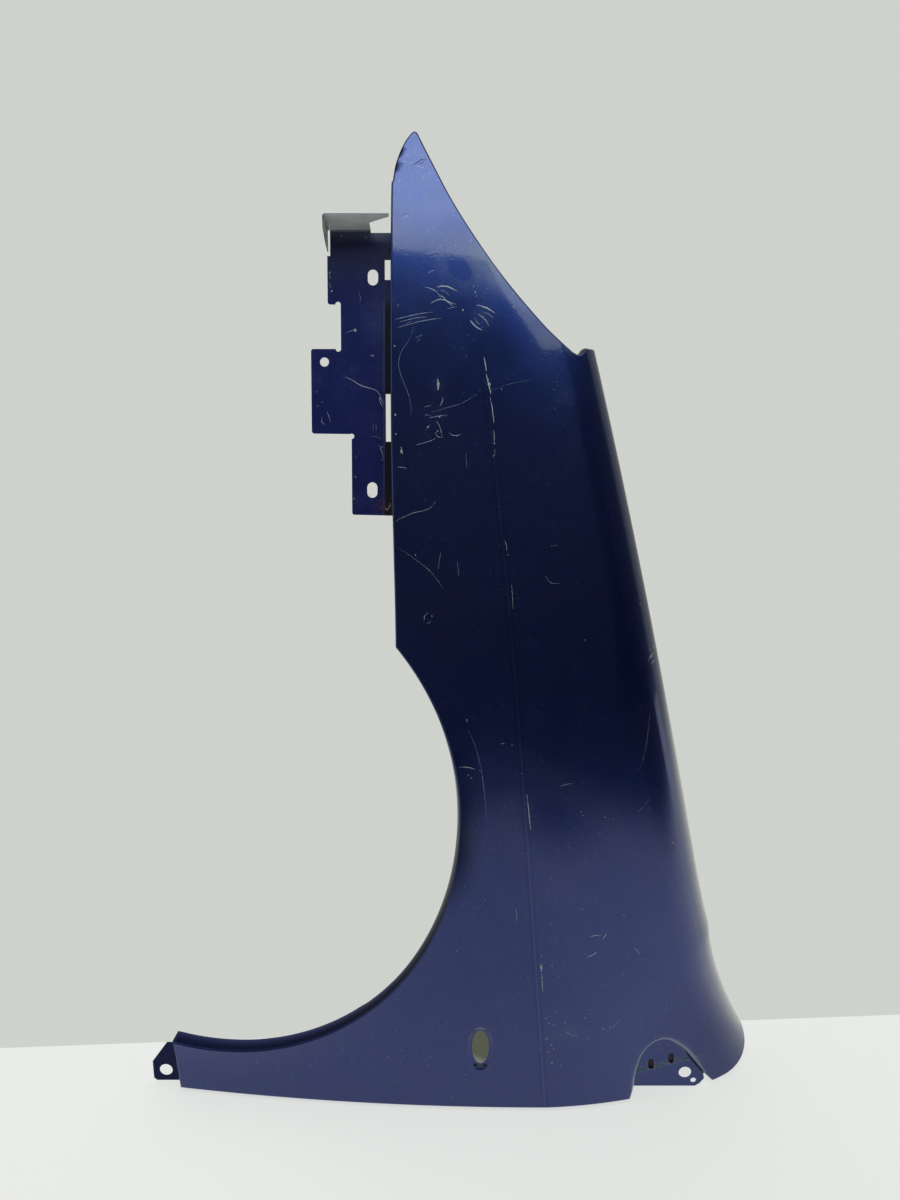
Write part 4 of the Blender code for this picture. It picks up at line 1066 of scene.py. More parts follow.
def recess_line(x):
    """Where the step across the recessed plate starts, as z."""
    return RECESS_STEP_Z + RECESS_STEP_RISE * (x - RECESS_RIM[0][0])


def recess_y(x, z):
    """The recessed plate: a flat tab along the door edge, then a joggle, then the floor."""
    return RECESS_Y + RECESS_JOGGLE * smooth_step((z - recess_line(x)) / RECESS_JOGGLE_RUN)


def panel_lines():
    """Lines that the triangles follow: three along the crease, rings round the lamp."""
    lines = []
    for aside in (-0.0018, 0.0, 0.0018):
        count = round(CREASE_START / EDGE_STEP)
        lines.append([Vector((crease_x(z) + aside, z)) for z in
                      [FOLD + 0.002 + (CREASE_START - FOLD) * i / count for i in range(count + 1)]])
    for share in (0.18, 0.36, 0.54, 0.72, 0.88, 1.0):
        lines.append(arc((LAMP_X, LAMP_Z), (LAMP_HALF_WIDTH + share * LAMP_DISH_EDGE,
                                            LAMP_HALF_LENGTH + share * LAMP_DISH_EDGE),
                         0, 360, HOLE_SIDES))
    return lines


def panel_spots(outline, holes, lines):
    """Inner points on an even field, clear of the outline, the holes and the lines."""
    spots = []
    for row in range(int(FIELD_LENGTH / (FIELD_ROW * PANEL_STEP))):
        z = FIELD_ROW * PANEL_STEP * (row + 0.5)
        shift = 0.5 * (row % 2)
        spots += [(FIELD_FOOT + PANEL_STEP * (column + shift), z)
                  for column in range(FIELD_COLUMNS)]
    spots = np.array(spots)
    keep = inside_many(spots, outline)
    spots = spots[keep]
    keep = distance_many(spots, outline) > EDGE_CLEAR * PANEL_STEP
    for hole in holes:
        keep &= ~inside_many(spots, hole)
    spots = spots[keep]
    keep = np.ones(len(spots), bool)
    for line in lines:
        keep &= distance_many(spots, line, closed=False) > LINE_CLEAR * PANEL_STEP
    return [Vector(spot) for spot in spots[keep]]


def mark_loops(scratches, dents, chips, find):
    """Closed loops with their material numbers; find takes a photo pixel to the sheet."""
    loops = [(scratch_loop(*scratch, find=find), SCRATCH) for scratch in scratches]
    loops += [(scratch_loop(*dent, find=find), DENT) for dent in dents]
    return loops + [(chip_loop(*chip, find), CHIP) for chip in chips]


def clear_marks(loops, outline, holes):
    """The marks that fit into a flat region, the ones at its edge or its holes left out."""
    edge = outline + outline[:1]
    kept = []
    for loop, kind in loops:
        inside = inside_many(loop, outline).all()
        clear = distance_many(loop, edge).min() > MARK_CLEAR
        if inside and clear and all(distance_many(loop, hole).min() > MARK_HOLE_CLEAR
                                    for hole in holes):
            kept.append((loop, kind))
    return kept


def turned(foot, wall, face, radius, count):
    """Points and normals of a fold from a wall into a flange that runs along `wall`'s
    normal: wall is the wall's outward normal, face the direction the wall runs in."""
    result = []
    for i in range(1, count + 1):
        turn = 0.5 * math.pi * i / count
        point = foot + wall * radius * (1.0 - math.cos(turn)) + face * radius * math.sin(turn)
        result.append((point, wall * math.cos(turn) - face * math.sin(turn)))
    return result


def turned_rows(sheet, run, flange, frames):
    """The same fold at the foot of a run of the outline's flange, as rows of entries."""
    folds = [turned(sheet.points[flange[i]], frames[i][1], frames[i][2], FOLD, BEND_STEPS)
             for i in run]
    return [list(row) for row in zip(*folds)]


def bend(sheet, row, ahead, aside, first, last):
    """Rows round a fold of the bracket that leaves a row along `ahead` and turns to
    `aside`; the normals turn from first to last."""
    rows = [row]
    for step in range(1, BEND_STEPS + 1):
        turn = 0.5 * math.pi * step / BEND_STEPS
        rows.append([sheet.corner(sheet.points[i] + ahead * BRACKET_FOLD * math.sin(turn)
                                  + aside * BRACKET_FOLD * (1.0 - math.cos(turn)),
                                  first * math.cos(turn) + last * math.sin(turn))
                     for i in row])
    return rows


def build_panel(materials):
    sheet = Sheet()
    outline, names = [], []
    for name, points in flat_edges().items():
        outline += points[:-1]
        names += [name] * (len(points) - 1)
    count = len(outline)
    reach = [mitre(outline[i - 1], outline[i], outline[(i + 1) % count]) for i in range(count)]
    folds = fold_radii(names)
    inner = [point - fold * side for point, fold, side in zip(outline, folds, reach)]
    frames, base = [], []
    for point, side in zip(inner, reach):
        spot, across, along, inboard = panel_frame(*point)
        frames.append((spot, across * side[0] + along * side[1], inboard))
        base.append(sheet.corner(spot, -inboard))
    holes = [round_hole((LAMP_X, LAMP_Z), LAMP_HALF_WIDTH, LAMP_HALF_LENGTH)]
    lines = panel_lines()
    wiped = [([spot_in_photo(*pixel) for pixel in WIPED], CLEAN)]
    sheet.fill(inner, base, holes, lines, panel_spots(inner, holes, lines), panel_place,
               clear_marks(wiped + mark_loops(SCRATCHES, DENTS, CHIPS, spot_in_photo), inner,
                           holes))

    rows = [base]
    for step in range(1, FOLD_STEPS + 1):
        turn = 0.5 * math.pi * step / FOLD_STEPS
        rows.append([sheet.corner(spot + outward * fold * math.sin(turn)
                                  + inboard * fold * (1.0 - math.cos(turn)),
                                  outward * math.sin(turn) - inboard * math.cos(turn))
                     for (spot, outward, inboard), fold in zip(frames, folds)])
    flange, widths = [], []
    for i, (spot, outward, inboard) in enumerate(frames):
        width = FLANGE_WIDTHS[names[i]]
        if names[i] == "arch" and spot[2] < ARCH_Z:
            width = lip_width(spot[0])
        neighbour = FLANGE_WIDTHS[names[i - 1]]
        foot = spot + (outward + inboard) * folds[i]
        if width is None or (neighbour is None and names[i] == "recess_end"):
            width = max((recess_y(foot[0], foot[2]) - foot[1]) / inboard[1], 0.0015)
            width -= min(FOLD, 0.5 * width)
        elif neighbour is not None:
            width = 0.5 * (width + neighbour)
        widths.append(width)
        flange.append(sheet.corner(foot + inboard * width, outward))
    for share in (0.35, 0.7):
        rows.append([sheet.corner(spot + outward * fold + inboard * (fold + share * width), outward)
                     for (spot, outward, inboard), fold, width in zip(frames, folds, widths)])
    rows.append(flange)
    sheet.strips(rows, closed=True)
    shade_panel(sheet, rows, names, inner)
    build_recess(sheet, names, flange, frames)
    build_gutter(sheet, names, flange, frames)
    build_sill_tab(sheet, names, flange, frames)
    return sheet.make("painted_panel", SKIN_SHEET, INNER, materials)


def shade_panel(sheet, rows, names, inner):
    """Painted shade, dark chips and painted highlights: painted shade on the edges' rows and in the
    band beside the arch, dark chips on the bumper edge near the tip, painted highlights on the
    recess rim and under the lamp's lip.
    """
    for row, rim_highlight, values in zip(rows, RIM_HIGHLIGHT, zip(*EDGE_SHADE.values())):
        for corner, name, point in zip(row, names, inner):
            sheet.painted_shade_and_chips[corner] = dict(zip(EDGE_SHADE, values)).get(name, 0.0)
            # Painted highlight on the rows of the recess's rim
            if name == "recess":
                sheet.wear_and_highlight[corner] = rim_highlight
            if name == "bumper" and any(low < point[1] < high for low, high in TIP_CHIPS):
                sheet.painted_shade_and_chips[corner] = TIP_CHIP_DARK

    low, full, high = ARCH_SHADE_Z
    wide, tall, under, glint = LIP_GLINT
    for i, point in enumerate(sheet.points):
        near = smooth_step(1.0 - arch_distance(point[0], point[2]) / ARCH_SHADE_WIDTH)
        near *= smooth_step((point[2] - low) / (full - low))
        near *= smooth_step((high - point[2]) / (high - full))
        sheet.painted_shade_and_chips[i] = max(sheet.painted_shade_and_chips.get(i, 0.0), ARCH_SHADE * near)
        away = math.hypot((point[0] - LAMP_X) / wide,
                          (point[2] - LAMP_Z + LAMP_HALF_LENGTH + under) / tall)
        sheet.wear_and_highlight[i] = sheet.wear_and_highlight.get(i, 0.0) + glint * math.exp(-away * away)


def build_recess(sheet, names, flange, frames):
    """The recessed plate that bolts to the door pillar, grown from the rim's wall."""
    rim = [i for i, name in enumerate(names) if name == "recess"]
    rim = rim[1:] + [rim[-1] + 1]
    rows = [[flange[i] for i in rim]]
    for step in range(1, BEND_STEPS + 1):
        turn = 0.5 * math.pi * step / BEND_STEPS
        row = []
        for i in rim:
            _, outward, inboard = frames[i]
            foot = sheet.points[flange[i]]
            full = (recess_y(foot[0], foot[2]) - foot[1]) / inboard[1]
            point = foot + outward * FOLD * (1.0 - math.cos(turn))
            point += inboard * max(full, 0.0004) * math.sin(turn)
            if step == BEND_STEPS:
                point[1] = recess_y(point[0], point[2])
            row.append(sheet.corner(point, outward * math.cos(turn) - inboard * math.sin(turn)))
        rows.append(row)
    sheet.strips(rows)
    corners = rows[-1]
    flat = sheet.flat(corners)
    left, right = flat[0], flat[-1]
    bottom = [Vector((side[0] + x, RECESS_TAB_BOTTOM + z))
              for side, cut in ((right, RECESS_RIGHT_CUT), (left, RECESS_LEFT_CUT))
              for x, z in cut]

    def place(x, z):
        slope = (recess_y(x, z + 0.0003) - recess_y(x, z - 0.0003)) / 0.0006
        return Vector((x, recess_y(x, z), z)), Vector((0.0, -1.0, slope))

    corners = corners + [sheet.corner(*place(*point)) for point in bottom]
    holes = [round_hole(PILLAR_BOLT, PILLAR_BOLT_RADIUS),
             round_hole(PILLAR_PILOT, PILLAR_PILOT_RADIUS)]
    holes += [obround(slot, RECESS_SLOT_HALF_WIDTH, RECESS_SLOT_HALF_LENGTH, 30)
              for slot in RECESS_SLOTS]
    outline = flat + bottom
    spots = [Vector((left[0] + 0.003 * i, -0.002 + 0.0014 * j))
             for i in range(1, 45) for j in range(60)]
    keep = inside_many(spots, outline) & (distance_many(spots, outline) > 0.0012)
    for hole in holes:
        keep &= ~inside_many(spots, hole) & (distance_many(spots, hole) > 0.0008)
    spots = [spot for spot, wanted in zip(spots, keep) if wanted]
    first = len(sheet.points)
    sheet.fill(outline, corners, holes, [], spots, place)
    # Painted highlight along the step of the recessed plate
    for corner in range(first, len(sheet.points)):
        x, _, z = sheet.points[corner]
        away = abs(z - recess_line(x) - STEP_HIGHLIGHT_AHEAD)
        sheet.wear_and_highlight[corner] = STEP_HIGHLIGHT * max(1.0 - away / STEP_HIGHLIGHT_HALF, 0.0)


def build_gutter(sheet, names, flange, frames):
    """The bolted flange along the hood edge, at the foot of the gutter's wall."""
    run = [i for i, name in enumerate(names) if name == "hood"
           and HOOD_FLANGE_REAR < frames[i][0][2] < HOOD_FLANGE_FRONT]
    rows = [[flange[i] for i in run]]
    rows += [[sheet.corner(*entry) for entry in row]
             for row in turned_rows(sheet, run, flange, frames)]
    sheet.strips(rows)
    sides = [frames[i][1:] for i in run]
    edge = rows[-1]
    length = [0.0]
    for a, b in zip(edge, edge[1:]):
        length.append(length[-1] + (sheet.points[b] - sheet.points[a]).length)
    marks = np.array(length)

    def place(along, across):
        spot = int(np.clip(np.searchsorted(marks, along), 1, len(length) - 1))
        share = (along - length[spot - 1]) / (length[spot] - length[spot - 1])
        start = sheet.points[edge[spot - 1]].lerp(sheet.points[edge[spot]], share)
        outward, inboard = (a.lerp(b, share).normalized()
                            for a, b in zip(sides[spot - 1], sides[spot]))
        return start + outward * across, -inboard

    end = length[-1]
    corners = list(edge)
    steps = round(end / 0.012)
    back = [Vector((end - 0.004 - (end - 0.008) * i / steps, HOOD_FLANGE))
            for i in range(steps + 1)]
    corners += [sheet.corner(*place(*point)) for point in back]
    holes = [round_hole((end * (i + 0.5) / HOOD_BOLTS, 0.55 * HOOD_FLANGE), HOOD_BOLT_RADIUS,
                        sides=HOOD_HOLE_SIDES) for i in range(HOOD_BOLTS)]
    sheet.fill([Vector((value, 0.0)) for value in length] + back, corners, holes, [], [], place)


def build_sill_tab(sheet, names, flange, frames):
    """The tab that bolts to the end of the sill, turned out from the sill end's flange."""
    run = [i for i, name in enumerate(names) if name == "sill_end"][1:]
    rows = turned_rows(sheet, run, flange, frames)
    depth = sum(point[1] for point, _ in rows[-1]) / len(run)

    def place(x, z):
        return Vector((x, depth, z)), Vector((0.0, -1.0, 0.0))

    rows[-1] = [place(point[0], point[2]) for point, _ in rows[-1]]
    rows = [[flange[i] for i in run]] + [[sheet.corner(*entry) for entry in row] for row in rows]
    sheet.strips(rows)
    flat = sheet.flat(rows[-1])
    edge = flat[-1][0]
    reach = edge - SILL_TAB_REACH
    outer = [(edge - 0.003, SILL_TAB_BOTTOM), (reach + 0.004, SILL_TAB_BOTTOM),
             (reach, SILL_TAB_BOTTOM + 0.004), (reach, SILL_TAB_SHOULDER),
             (edge - SILL_TAB_TOP_REACH, SILL_TAB_TOP), (flat[0][0] - 0.003, SILL_TAB_TOP)]
    outer = [Vector(point) for point in outer]
    corners = rows[-1] + [sheet.corner(*place(*point)) for point in outer]
    hole = round_hole((reach + SILL_BOLT_IN, SILL_BOLT_Z), SILL_BOLT_RADIUS)
    first = len(sheet.points)
    sheet.fill(flat + outer, corners, [hole], [], [], place)
    # Painted shade over the whole sill tab
    for corner in list(range(first, len(sheet.points))) + corners:
        sheet.painted_shade_and_chips[corner] = TAB_SHADE


def build_clips(materials):
    """The two dark trim clips that fill the recess plate's slots from behind."""
    points, faces, kinds = [], [], []
    for slot in RECESS_SLOTS:
        back = recess_y(*slot) + SKIN_SHEET
        stem = (slot[0] + CLIP_STEM_SHIFT, slot[1] - 2.0 * CLIP_STEM_SHIFT)
        for kind, loop, front, rear in (
                (0, obround(slot, CLIP_HALF_WIDTH, CLIP_HALF_LENGTH, 24), back + CLIP_GAP,
                 back + CLIP_BACK),
                (1, obround(stem, 0.4 * RECESS_SLOT_HALF_WIDTH, 0.5 * RECESS_SLOT_HALF_LENGTH, 16),
                 back - CLIP_STEM_PROUD, back + CLIP_GAP)):
            first, count = len(points), len(loop)
            points += [Vector((x, y, z)) + STAND for y in (front, rear) for x, z in loop]
            faces.append([first + i for i in range(count)])
            faces.append([first + count + i for i in reversed(range(count))])
            faces += [[first + (i + 1) % count, first + i, first + count + i,
                       first + count + (i + 1) % count] for i in range(count)]
            kinds += [kind] * (count + 2)
    return link_object("trim_clips", points, faces, materials, kinds)


def sheet_values(sheet):
    """Per-corner values for the paint: haze, wear with painted highlights, painted shade with dark
    chips, z and height over the crease.
    """
    spots = [(spot_in_photo(column, row), wide, high, strength)
             for column, row, wide, high, strength in HAZES]
    haze = []
    for point in sheet.points:
        value = 0.0
        for spot, wide, high, strength in spots:
            away = math.hypot((point[0] - spot[0]) / wide, (point[2] - spot[1]) / high)
            value += strength * math.exp(-away * away)
        haze.append(value)
    wear_and_highlight, painted_shade_and_chips = ([marked.get(i, 0.0) for i in range(len(sheet.points))]
                  for marked in (sheet.wear_and_highlight, sheet.painted_shade_and_chips))
    return {"haze": haze, "wear_and_highlight": wear_and_highlight, "painted_shade_and_chips": painted_shade_and_chips,
            "height": [point[2] for point in sheet.points],
            "aside": [point[0] - crease_x(point[2]) for point in sheet.points]}


def bracket_line():
    """The plate's y at its bottom and its lean, set in from the skin's bumper edge."""
    low = panel_point(BUMPER_EDGE_END, BRACKET_BOTTOM)[1] + BRACKET_DEPTH_LOW
    top = panel_point(BUMPER_EDGE_END, BRACKET_TOP)[1] + BRACKET_DEPTH_TOP
    return low, (top - low) / (BRACKET_TOP - BRACKET_BOTTOM)


def bracket_y(z):
    low, lean = bracket_line()
    return low + lean * (z - BRACKET_BOTTOM)


def bumper_edge_x(z):
    """Height of the skin's bumper edge at z."""
    points = flat_edges()["bumper"]
    for a, b in zip(points, points[1:]):
        if b[1] <= z <= a[1]:
            return a[0] + (b[0] - a[0]) * (z - a[1]) / (b[1] - a[1])
    return BUMPER_EDGE_END


def plate_normal():
    return Vector((0.0, -1.0, bracket_line()[1])).normalized()


def plate_place(x, z):
    return Vector((x, bracket_y(z), z)), plate_normal()


def web_row(z):
    """Points and normals across the web at the plate's height z, from skin to plate."""
    flush = FOLD - SKIN_SHEET - LAP_GAP
    lift = 0.0
    for _ in range(3):
        spot, across, _, inboard = panel_frame(bumper_edge_x(z + lift) + FOLD, z + lift)
        near = spot - across * flush + inboard * (FOLD + WEB_LAP)
        lean = bracket_line()[1]
        to_plate = (bracket_y(near[2]) - near[1]) / (inboard[1] - lean * inboard[2])
        meet = near + inboard * to_plate
        lift += z - meet[2]
    row = [(near, -across), (near.lerp(meet, 0.5), -across)]
    wall, face = Vector((-1.0, 0.0, 0.0)), inboard
    foot = meet - face * BRACKET_FOLD
    row.append((foot, wall))
    row += turned(foot, wall, face, BRACKET_FOLD, BEND_STEPS)
    row[-1] = (Vector((row[-1][0][0], bracket_y(row[-1][0][2]), row[-1][0][2])), plate_normal())
    return row


def build_bracket(materials):
    """A flat plate behind the bumper edge, with an end flange, a side flange and a web."""
    sheet = Sheet()
    stations = [BRACKET_BOTTOM + (BRACKET_TOP - BRACKET_BOTTOM) * i / PLATE_STATIONS
                for i in range(PLATE_STATIONS + 1)]
    for low, high in WEB_WINDOWS:
        stations = [z for z in stations if min(abs(z - low), abs(z - high)) > 0.002]
        stations += [low, high]
    edge, previous = [], None
    for z in sorted(stations):
        places = web_row(z)
        windowed = any(low < z < high for low, high in WEB_WINDOWS)
        edge.append((z, places[-1][0], windowed))
        row = [sheet.corner(*entry) for entry in places]
        closed = any(low <= z <= high for low, high in WEB_WINDOWS)
        if previous and not (closed and previous[1]):
            sheet.strip(previous[0][:3], row[:3], kind=WEB)
            sheet.strip(previous[0][2:], row[2:])
        # Painted highlight on the fold from the web to the plate
        for corner in row[2:]:
            sheet.wear_and_highlight[corner] = FOLD_HIGHLIGHT
        previous = (row, closed)
    right, corners = [], []
    for z, plate, windowed in edge:
        if windowed:
            continue
        for low, high in WEB_WINDOWS:
            if abs(z - high) < 1e-6:
                for at in (low, high):
                    right.append(Vector((plate[0] - WEB_WINDOW_DEPTH, at)))
                    corners.append(sheet.corner(*plate_place(plate[0] - WEB_WINDOW_DEPTH, at)))
        right.append(Vector((plate[0], plate[2])))
        corners.append(sheet.corner(plate, plate_normal()))
    top_z = right[-1][1]
    start, end = BRACKET_UPPER_X + 0.0035, BRACKET_UPPER_X + END_FLANGE_ROOT
    top = [Vector((end + (start - end) * i / (TOP_POINTS - 1), top_z))
           for i in range(TOP_POINTS)]
    left = rounded_left_side(BRACKET_UPPER_X)
    outline = right + top + left
    corners += [sheet.corner(*plate_place(*point)) for point in top + left]
    holes = [obround(slot, BRACKET_SLOT_HALF_WIDTH, BRACKET_SLOT_HALF_LENGTH, 40)
             for slot in BRACKET_SLOTS]
    holes.append(round_hole(BRACKET_HOLE, BRACKET_HOLE_RADIUS, sides=BRACKET_HOLE_SIDES))
    sheet.fill(outline, corners, holes, [], [], plate_place,
               clear_marks(mark_loops(PLATE_SCRATCHES, (), PLATE_CHIPS, plate_spot), outline,
                           holes))
    build_end_flange(sheet, corners[len(right):len(right) + TOP_POINTS])
    return sheet.make("bumper_plate", BRACKET_SHEET, PAINT, materials)


def rounded_left_side(left_x):
    """The plate's stepped left side, top to bottom, with a round relief in each step."""
    slit = BRACKET_TOP - SIDE_FLANGE_DROP
    points = [Vector((left_x + 0.0035, slit)), Vector((left_x, slit))]
    neck, tab = BRACKET_NECK_X - BRACKET_RELIEF, BRACKET_TAB_X + BRACKET_CORNER
    for x, z, radius, start, end, count in (
            (left_x + BRACKET_CORNER, BRACKET_NECK_TOP + BRACKET_CORNER, BRACKET_CORNER,
             180, 270, 5),
            (neck, BRACKET_NECK_TOP, BRACKET_RELIEF, 180, 0, 14),
            (neck, BRACKET_TAB_TOP, BRACKET_RELIEF, 0, -180, 14),
            (tab, BRACKET_TAB_TOP - BRACKET_CORNER, BRACKET_CORNER, 90, 180, 5),
            (tab, BRACKET_LEG_TOP + BRACKET_CORNER, BRACKET_CORNER, 180, 270, 5),
            (BRACKET_LEG_X, BRACKET_LEG_TOP - BRACKET_RELIEF, BRACKET_RELIEF, 125, -90, 16),
            (BRACKET_LEG_X + BRACKET_CORNER, BRACKET_BOTTOM + 0.001 + BRACKET_CORNER,
             BRACKET_CORNER, 180, 250, 5)):
        points += arc((x, z), (radius, radius), start, end, count)
    return points


def build_end_flange(sheet, top):
    """The flange at the plate's front end, turned out to the skin, and its side return."""
    across = Vector((0.0, -END_FLANGE_REACH, END_FLANGE_RISE)).normalized()
    up = Vector((0.0, bracket_line()[1], 1.0)).normalized()
    reach = math.hypot(END_FLANGE_REACH, END_FLANGE_RISE)
    under = across.cross(Vector((1.0, 0.0, 0.0)))
    if under[2] > 0.0:
        under = -under
    rows = bend(sheet, top, up, across, plate_normal(), under)
    sheet.strips(rows)
    # Painted highlight along the plate's top fold
    for corner in sum(rows[1:], []):
        sheet.wear_and_highlight[corner] = TOP_FOLD_HIGHLIGHT
    first = len(sheet.faces)
    root = rows[-1]
    near, far = sheet.points[root[0]].copy(), sheet.points[root[-1]].copy()
    tip = Vector((bumper_edge_x(BRACKET_TOP) - LAP_GAP - 0.001, near[1], near[2]))
    outer = [near + across * 0.45 * reach, tip + across * 0.80 * reach,
             tip + across * (reach - BRACKET_FOLD), far + across * (reach - BRACKET_FOLD),
             far + across * 0.5 * reach]
    ring = list(reversed(root)) + [sheet.corner(point, under) for point in outer]
    sheet.faces.append(ring)
    sheet.kinds.append(PAINT)
    down, out = Vector((0.0, 0.0, -1.0)), Vector((-1.0, 0.0, 0.0))
    bends = bend(sheet, [ring[-2], ring[-1], ring[0]], out, down, under, -out)
    drop = SIDE_FLANGE_DROP - 2.0 * BRACKET_FOLD
    bends.append([sheet.corner(sheet.points[i] + down * drop * share, -out)
                  for i, share in zip(bends[-1], (0.55, 0.9, 1.0))])
    sheet.strips(bends)
    sheet.kinds[first:] = [BARE_REFLECTING] * (len(sheet.faces) - first)


class Nodes:
    """A short way to write a node tree: every call adds one node."""

    def __init__(self, tree):
        self.tree = tree

    def add(self, kind, inputs=(), **settings):
        node = self.tree.nodes.new(kind)
        for name, value in settings.items():
            setattr(node, name, value)
        for name, value in dict(inputs).items():
            self.put(node.inputs[name], value)
        return node

    def put(self, socket, value):
        if isinstance(value, bpy.types.NodeSocket):
            self.tree.links.new(value, socket)
        else:
            socket.default_value = value

    def math(self, operation, a, b=0.0, clamp=True):
        return self.add("ShaderNodeMath", {0: a, 1: b}, operation=operation,
                        use_clamp=clamp).outputs[0]

    def times(self, a, b, clamp=True):
        return self.math("MULTIPLY", a, b, clamp)


class Shader(Nodes):
    """The nodes of one material."""

    def __init__(self, name):
        self.material = bpy.data.materials.new(name)
        self.material.use_nodes = True
        super().__init__(self.material.node_tree)
        self.surface = self.tree.nodes["Principled BSDF"]

    def set(self, **inputs):
        for name, value in inputs.items():
            self.put(self.surface.inputs[name.replace("_", " ")], value)

    def show(self, socket):
        self.put(self.tree.nodes["Material Output"].inputs["Surface"], socket)

    def place(self):
        return self.add("ShaderNodeTexCoord").outputs["Object"]

    def axes(self):
        return self.add("ShaderNodeSeparateXYZ", {"Vector": self.place()}).outputs

    def noise(self, scale, detail=3.0, rough=0.55, vector=None):
        vector = vector or self.place()
        return self.add("ShaderNodeTexNoise", {"Vector": vector, "Scale": scale, "Detail": detail,
                                               "Roughness": rough}).outputs["Fac"]

    def grain(self, scale, detail, rough, low, high, out_low=0.0, out_high=1.0):
        """Noise from which a ramp picks a span."""
        return self.ramp(self.noise(scale, detail, rough), low, high, out_low, out_high)

    def band(self, value, middle, low, high, out_low=0.0, out_high=1.0):
        """A ramp whose ends are given from a middle value."""
        return self.ramp(value, middle + low, middle + high, out_low, out_high)

    def stretched(self, scale):
        """The object's coordinates scaled along each axis."""
        return self.add("ShaderNodeMapping", {"Vector": self.place(), "Scale": scale}).outputs[0]

    def ramp(self, value, low, high, out_low=0.0, out_high=1.0):
        return self.add("ShaderNodeMapRange", {"Value": value, "From Min": low, "From Max": high,
                                               "To Min": out_low, "To Max": out_high}).outputs[0]

    def steps(self, value, stops):
        """A value through a row of (place, share) stops."""
        node = self.add("ShaderNodeValToRGB", {"Fac": value})
        while len(node.color_ramp.elements) < len(stops):
            node.color_ramp.elements.new(1.0)
        for element, (place, share) in zip(node.color_ramp.elements, stops):
            element.position = place
            element.color = (share, share, share, 1.0)
        return node.outputs["Color"]

    def span(self, value, out_low, out_high):
        """A value from 0 to 1 taken to another span."""
        return self.ramp(value, 0.0, 1.0, out_low, out_high)

    def mix(self, share, a, b):
        node = self.tree.nodes.new("ShaderNodeMix")
        node.data_type = "RGBA"
        self.put(node.inputs["Factor"], share)
        self.put(node.inputs["A"], (*a, 1.0) if isinstance(a, tuple) else a)
        self.put(node.inputs["B"], (*b, 1.0) if isinstance(b, tuple) else b)
        return node.outputs["Result"]

    def value(self, title):
        return self.add("ShaderNodeAttribute", attribute_name=title).outputs["Fac"]

    def bump(self, height, strength, distance):
        return self.add("ShaderNodeBump", {"Height": height, "Strength": strength,
                                           "Distance": distance}).outputs["Normal"]

    def relief(self, scale, strength, distance):
        return self.bump(self.noise(scale, 2.0), strength, distance)

    def near(self, centre, radius):
        """1 at a point in the row frame, falling to 0 at the radius."""
        away = self.add("ShaderNodeVectorMath", {0: self.place(), 1: centre},
                        operation="DISTANCE").outputs["Value"]
        return self.ramp(away, 0.0, radius, 1.0, 0.0)


def body_paint(name, dusty=1.0):
    """Dark blue metallic paint under clear coat, with dust, haze, painted highlight and shade on
    the crease's ridge, painted shade on folds and flanges, and wear with painted highlights.
    """
    look = Shader(name)
    flake = look.grain(*FLAKE)
    dust = look.grain(*PAINT_DUST)
    grain = look.grain(*PAINT_GRAIN)
    low = look.ramp(look.value("height"), 0.45, 0.0)
    film = look.times(look.math("ADD", dust, low), look.span(grain, 0.5, 1.0))
    streaks = look.noise(*STREAKS, look.stretched(STREAK_STRETCH))
    haze = look.times(look.value("haze"), look.ramp(streaks, *STREAK_SPAN))
    paint = look.mix(look.times(film, FILM_SHARE * dusty), PAINT_BLUE, DUST_GREY)
    paint = look.mix(look.times(haze, HAZE_SHARE * dusty), paint, RUBBED_AND_HIGHLIGHT_GREY)
    specks = look.grain(*PAINT_SPECKS, 0.0, SPECK_SHARE * dusty)
    paint = look.mix(specks, paint, SCRATCH_GREY)
    rubs = look.grain(*PAINT_RUBS)
    # Rubbed wear, and painted highlights on the recess rim and step and under the lamp hole
    wear_and_highlight = look.times(look.value("wear_and_highlight"), rubs)
    paint = look.mix(wear_and_highlight, paint, RUBBED_AND_HIGHLIGHT_GREY)
    # Painted shade on folds, flanges, the sill tab and beside the arch, and dark chips: darker
    # paint, less coat and gloss
    painted_shade_and_chips = look.value("painted_shade_and_chips")
    # Painted highlight and shade along the crease's ridge, faded out near its front end
    ridge_light = look.steps(look.ramp(look.value("aside"), -0.008, 0.004), RIDGE_LIGHT_AND_SHADE)
    fade = look.ramp(look.value("height"), *CREASE_FADE)
    ridge_light = look.mix(fade, ridge_light, (0.5, 0.5, 0.5))
    shade = look.times(look.times(ridge_light, flake, False), 2.0, False)
    shade = look.times(shade, look.span(painted_shade_and_chips, *DARK_PAINT), False)
    bright = look.add("ShaderNodeVectorMath", {0: paint, "Scale": shade}, operation="SCALE")
    rough = look.math("ADD", look.grain(*PAINT_ROUGH),
                      look.times(look.math("ADD", haze, wear_and_highlight), WORN_ROUGH))
    look.set(Base_Color=bright.outputs[0], Metallic=METALLIC, Roughness=rough,
             Coat_Weight=look.span(painted_shade_and_chips, *DARK_COAT),
             Specular_Tint=look.mix(painted_shade_and_chips, (1.0, 1.0, 1.0), (0.1, 0.1, 0.1)),
             Specular_IOR_Level=look.span(painted_shade_and_chips, *DARK_GLOSS),
             Coat_Roughness=look.grain(*COAT_ROUGH),
             Normal=look.relief(*FLAKE_RELIEF),
             Coat_Normal=look.relief(*PEEL_RELIEF))
    return look.material


def scratch_look(name):
    """A scratch through the clear coat: pale and broken along its length."""
    look = Shader(name)
    broken = look.grain(*SCRATCH_BREAKS)
    look.set(Base_Color=look.mix(broken, PAINT_BLUE, SCRATCH_GREY),
             Roughness=look.span(broken, 0.40, 0.70))
    return look.material


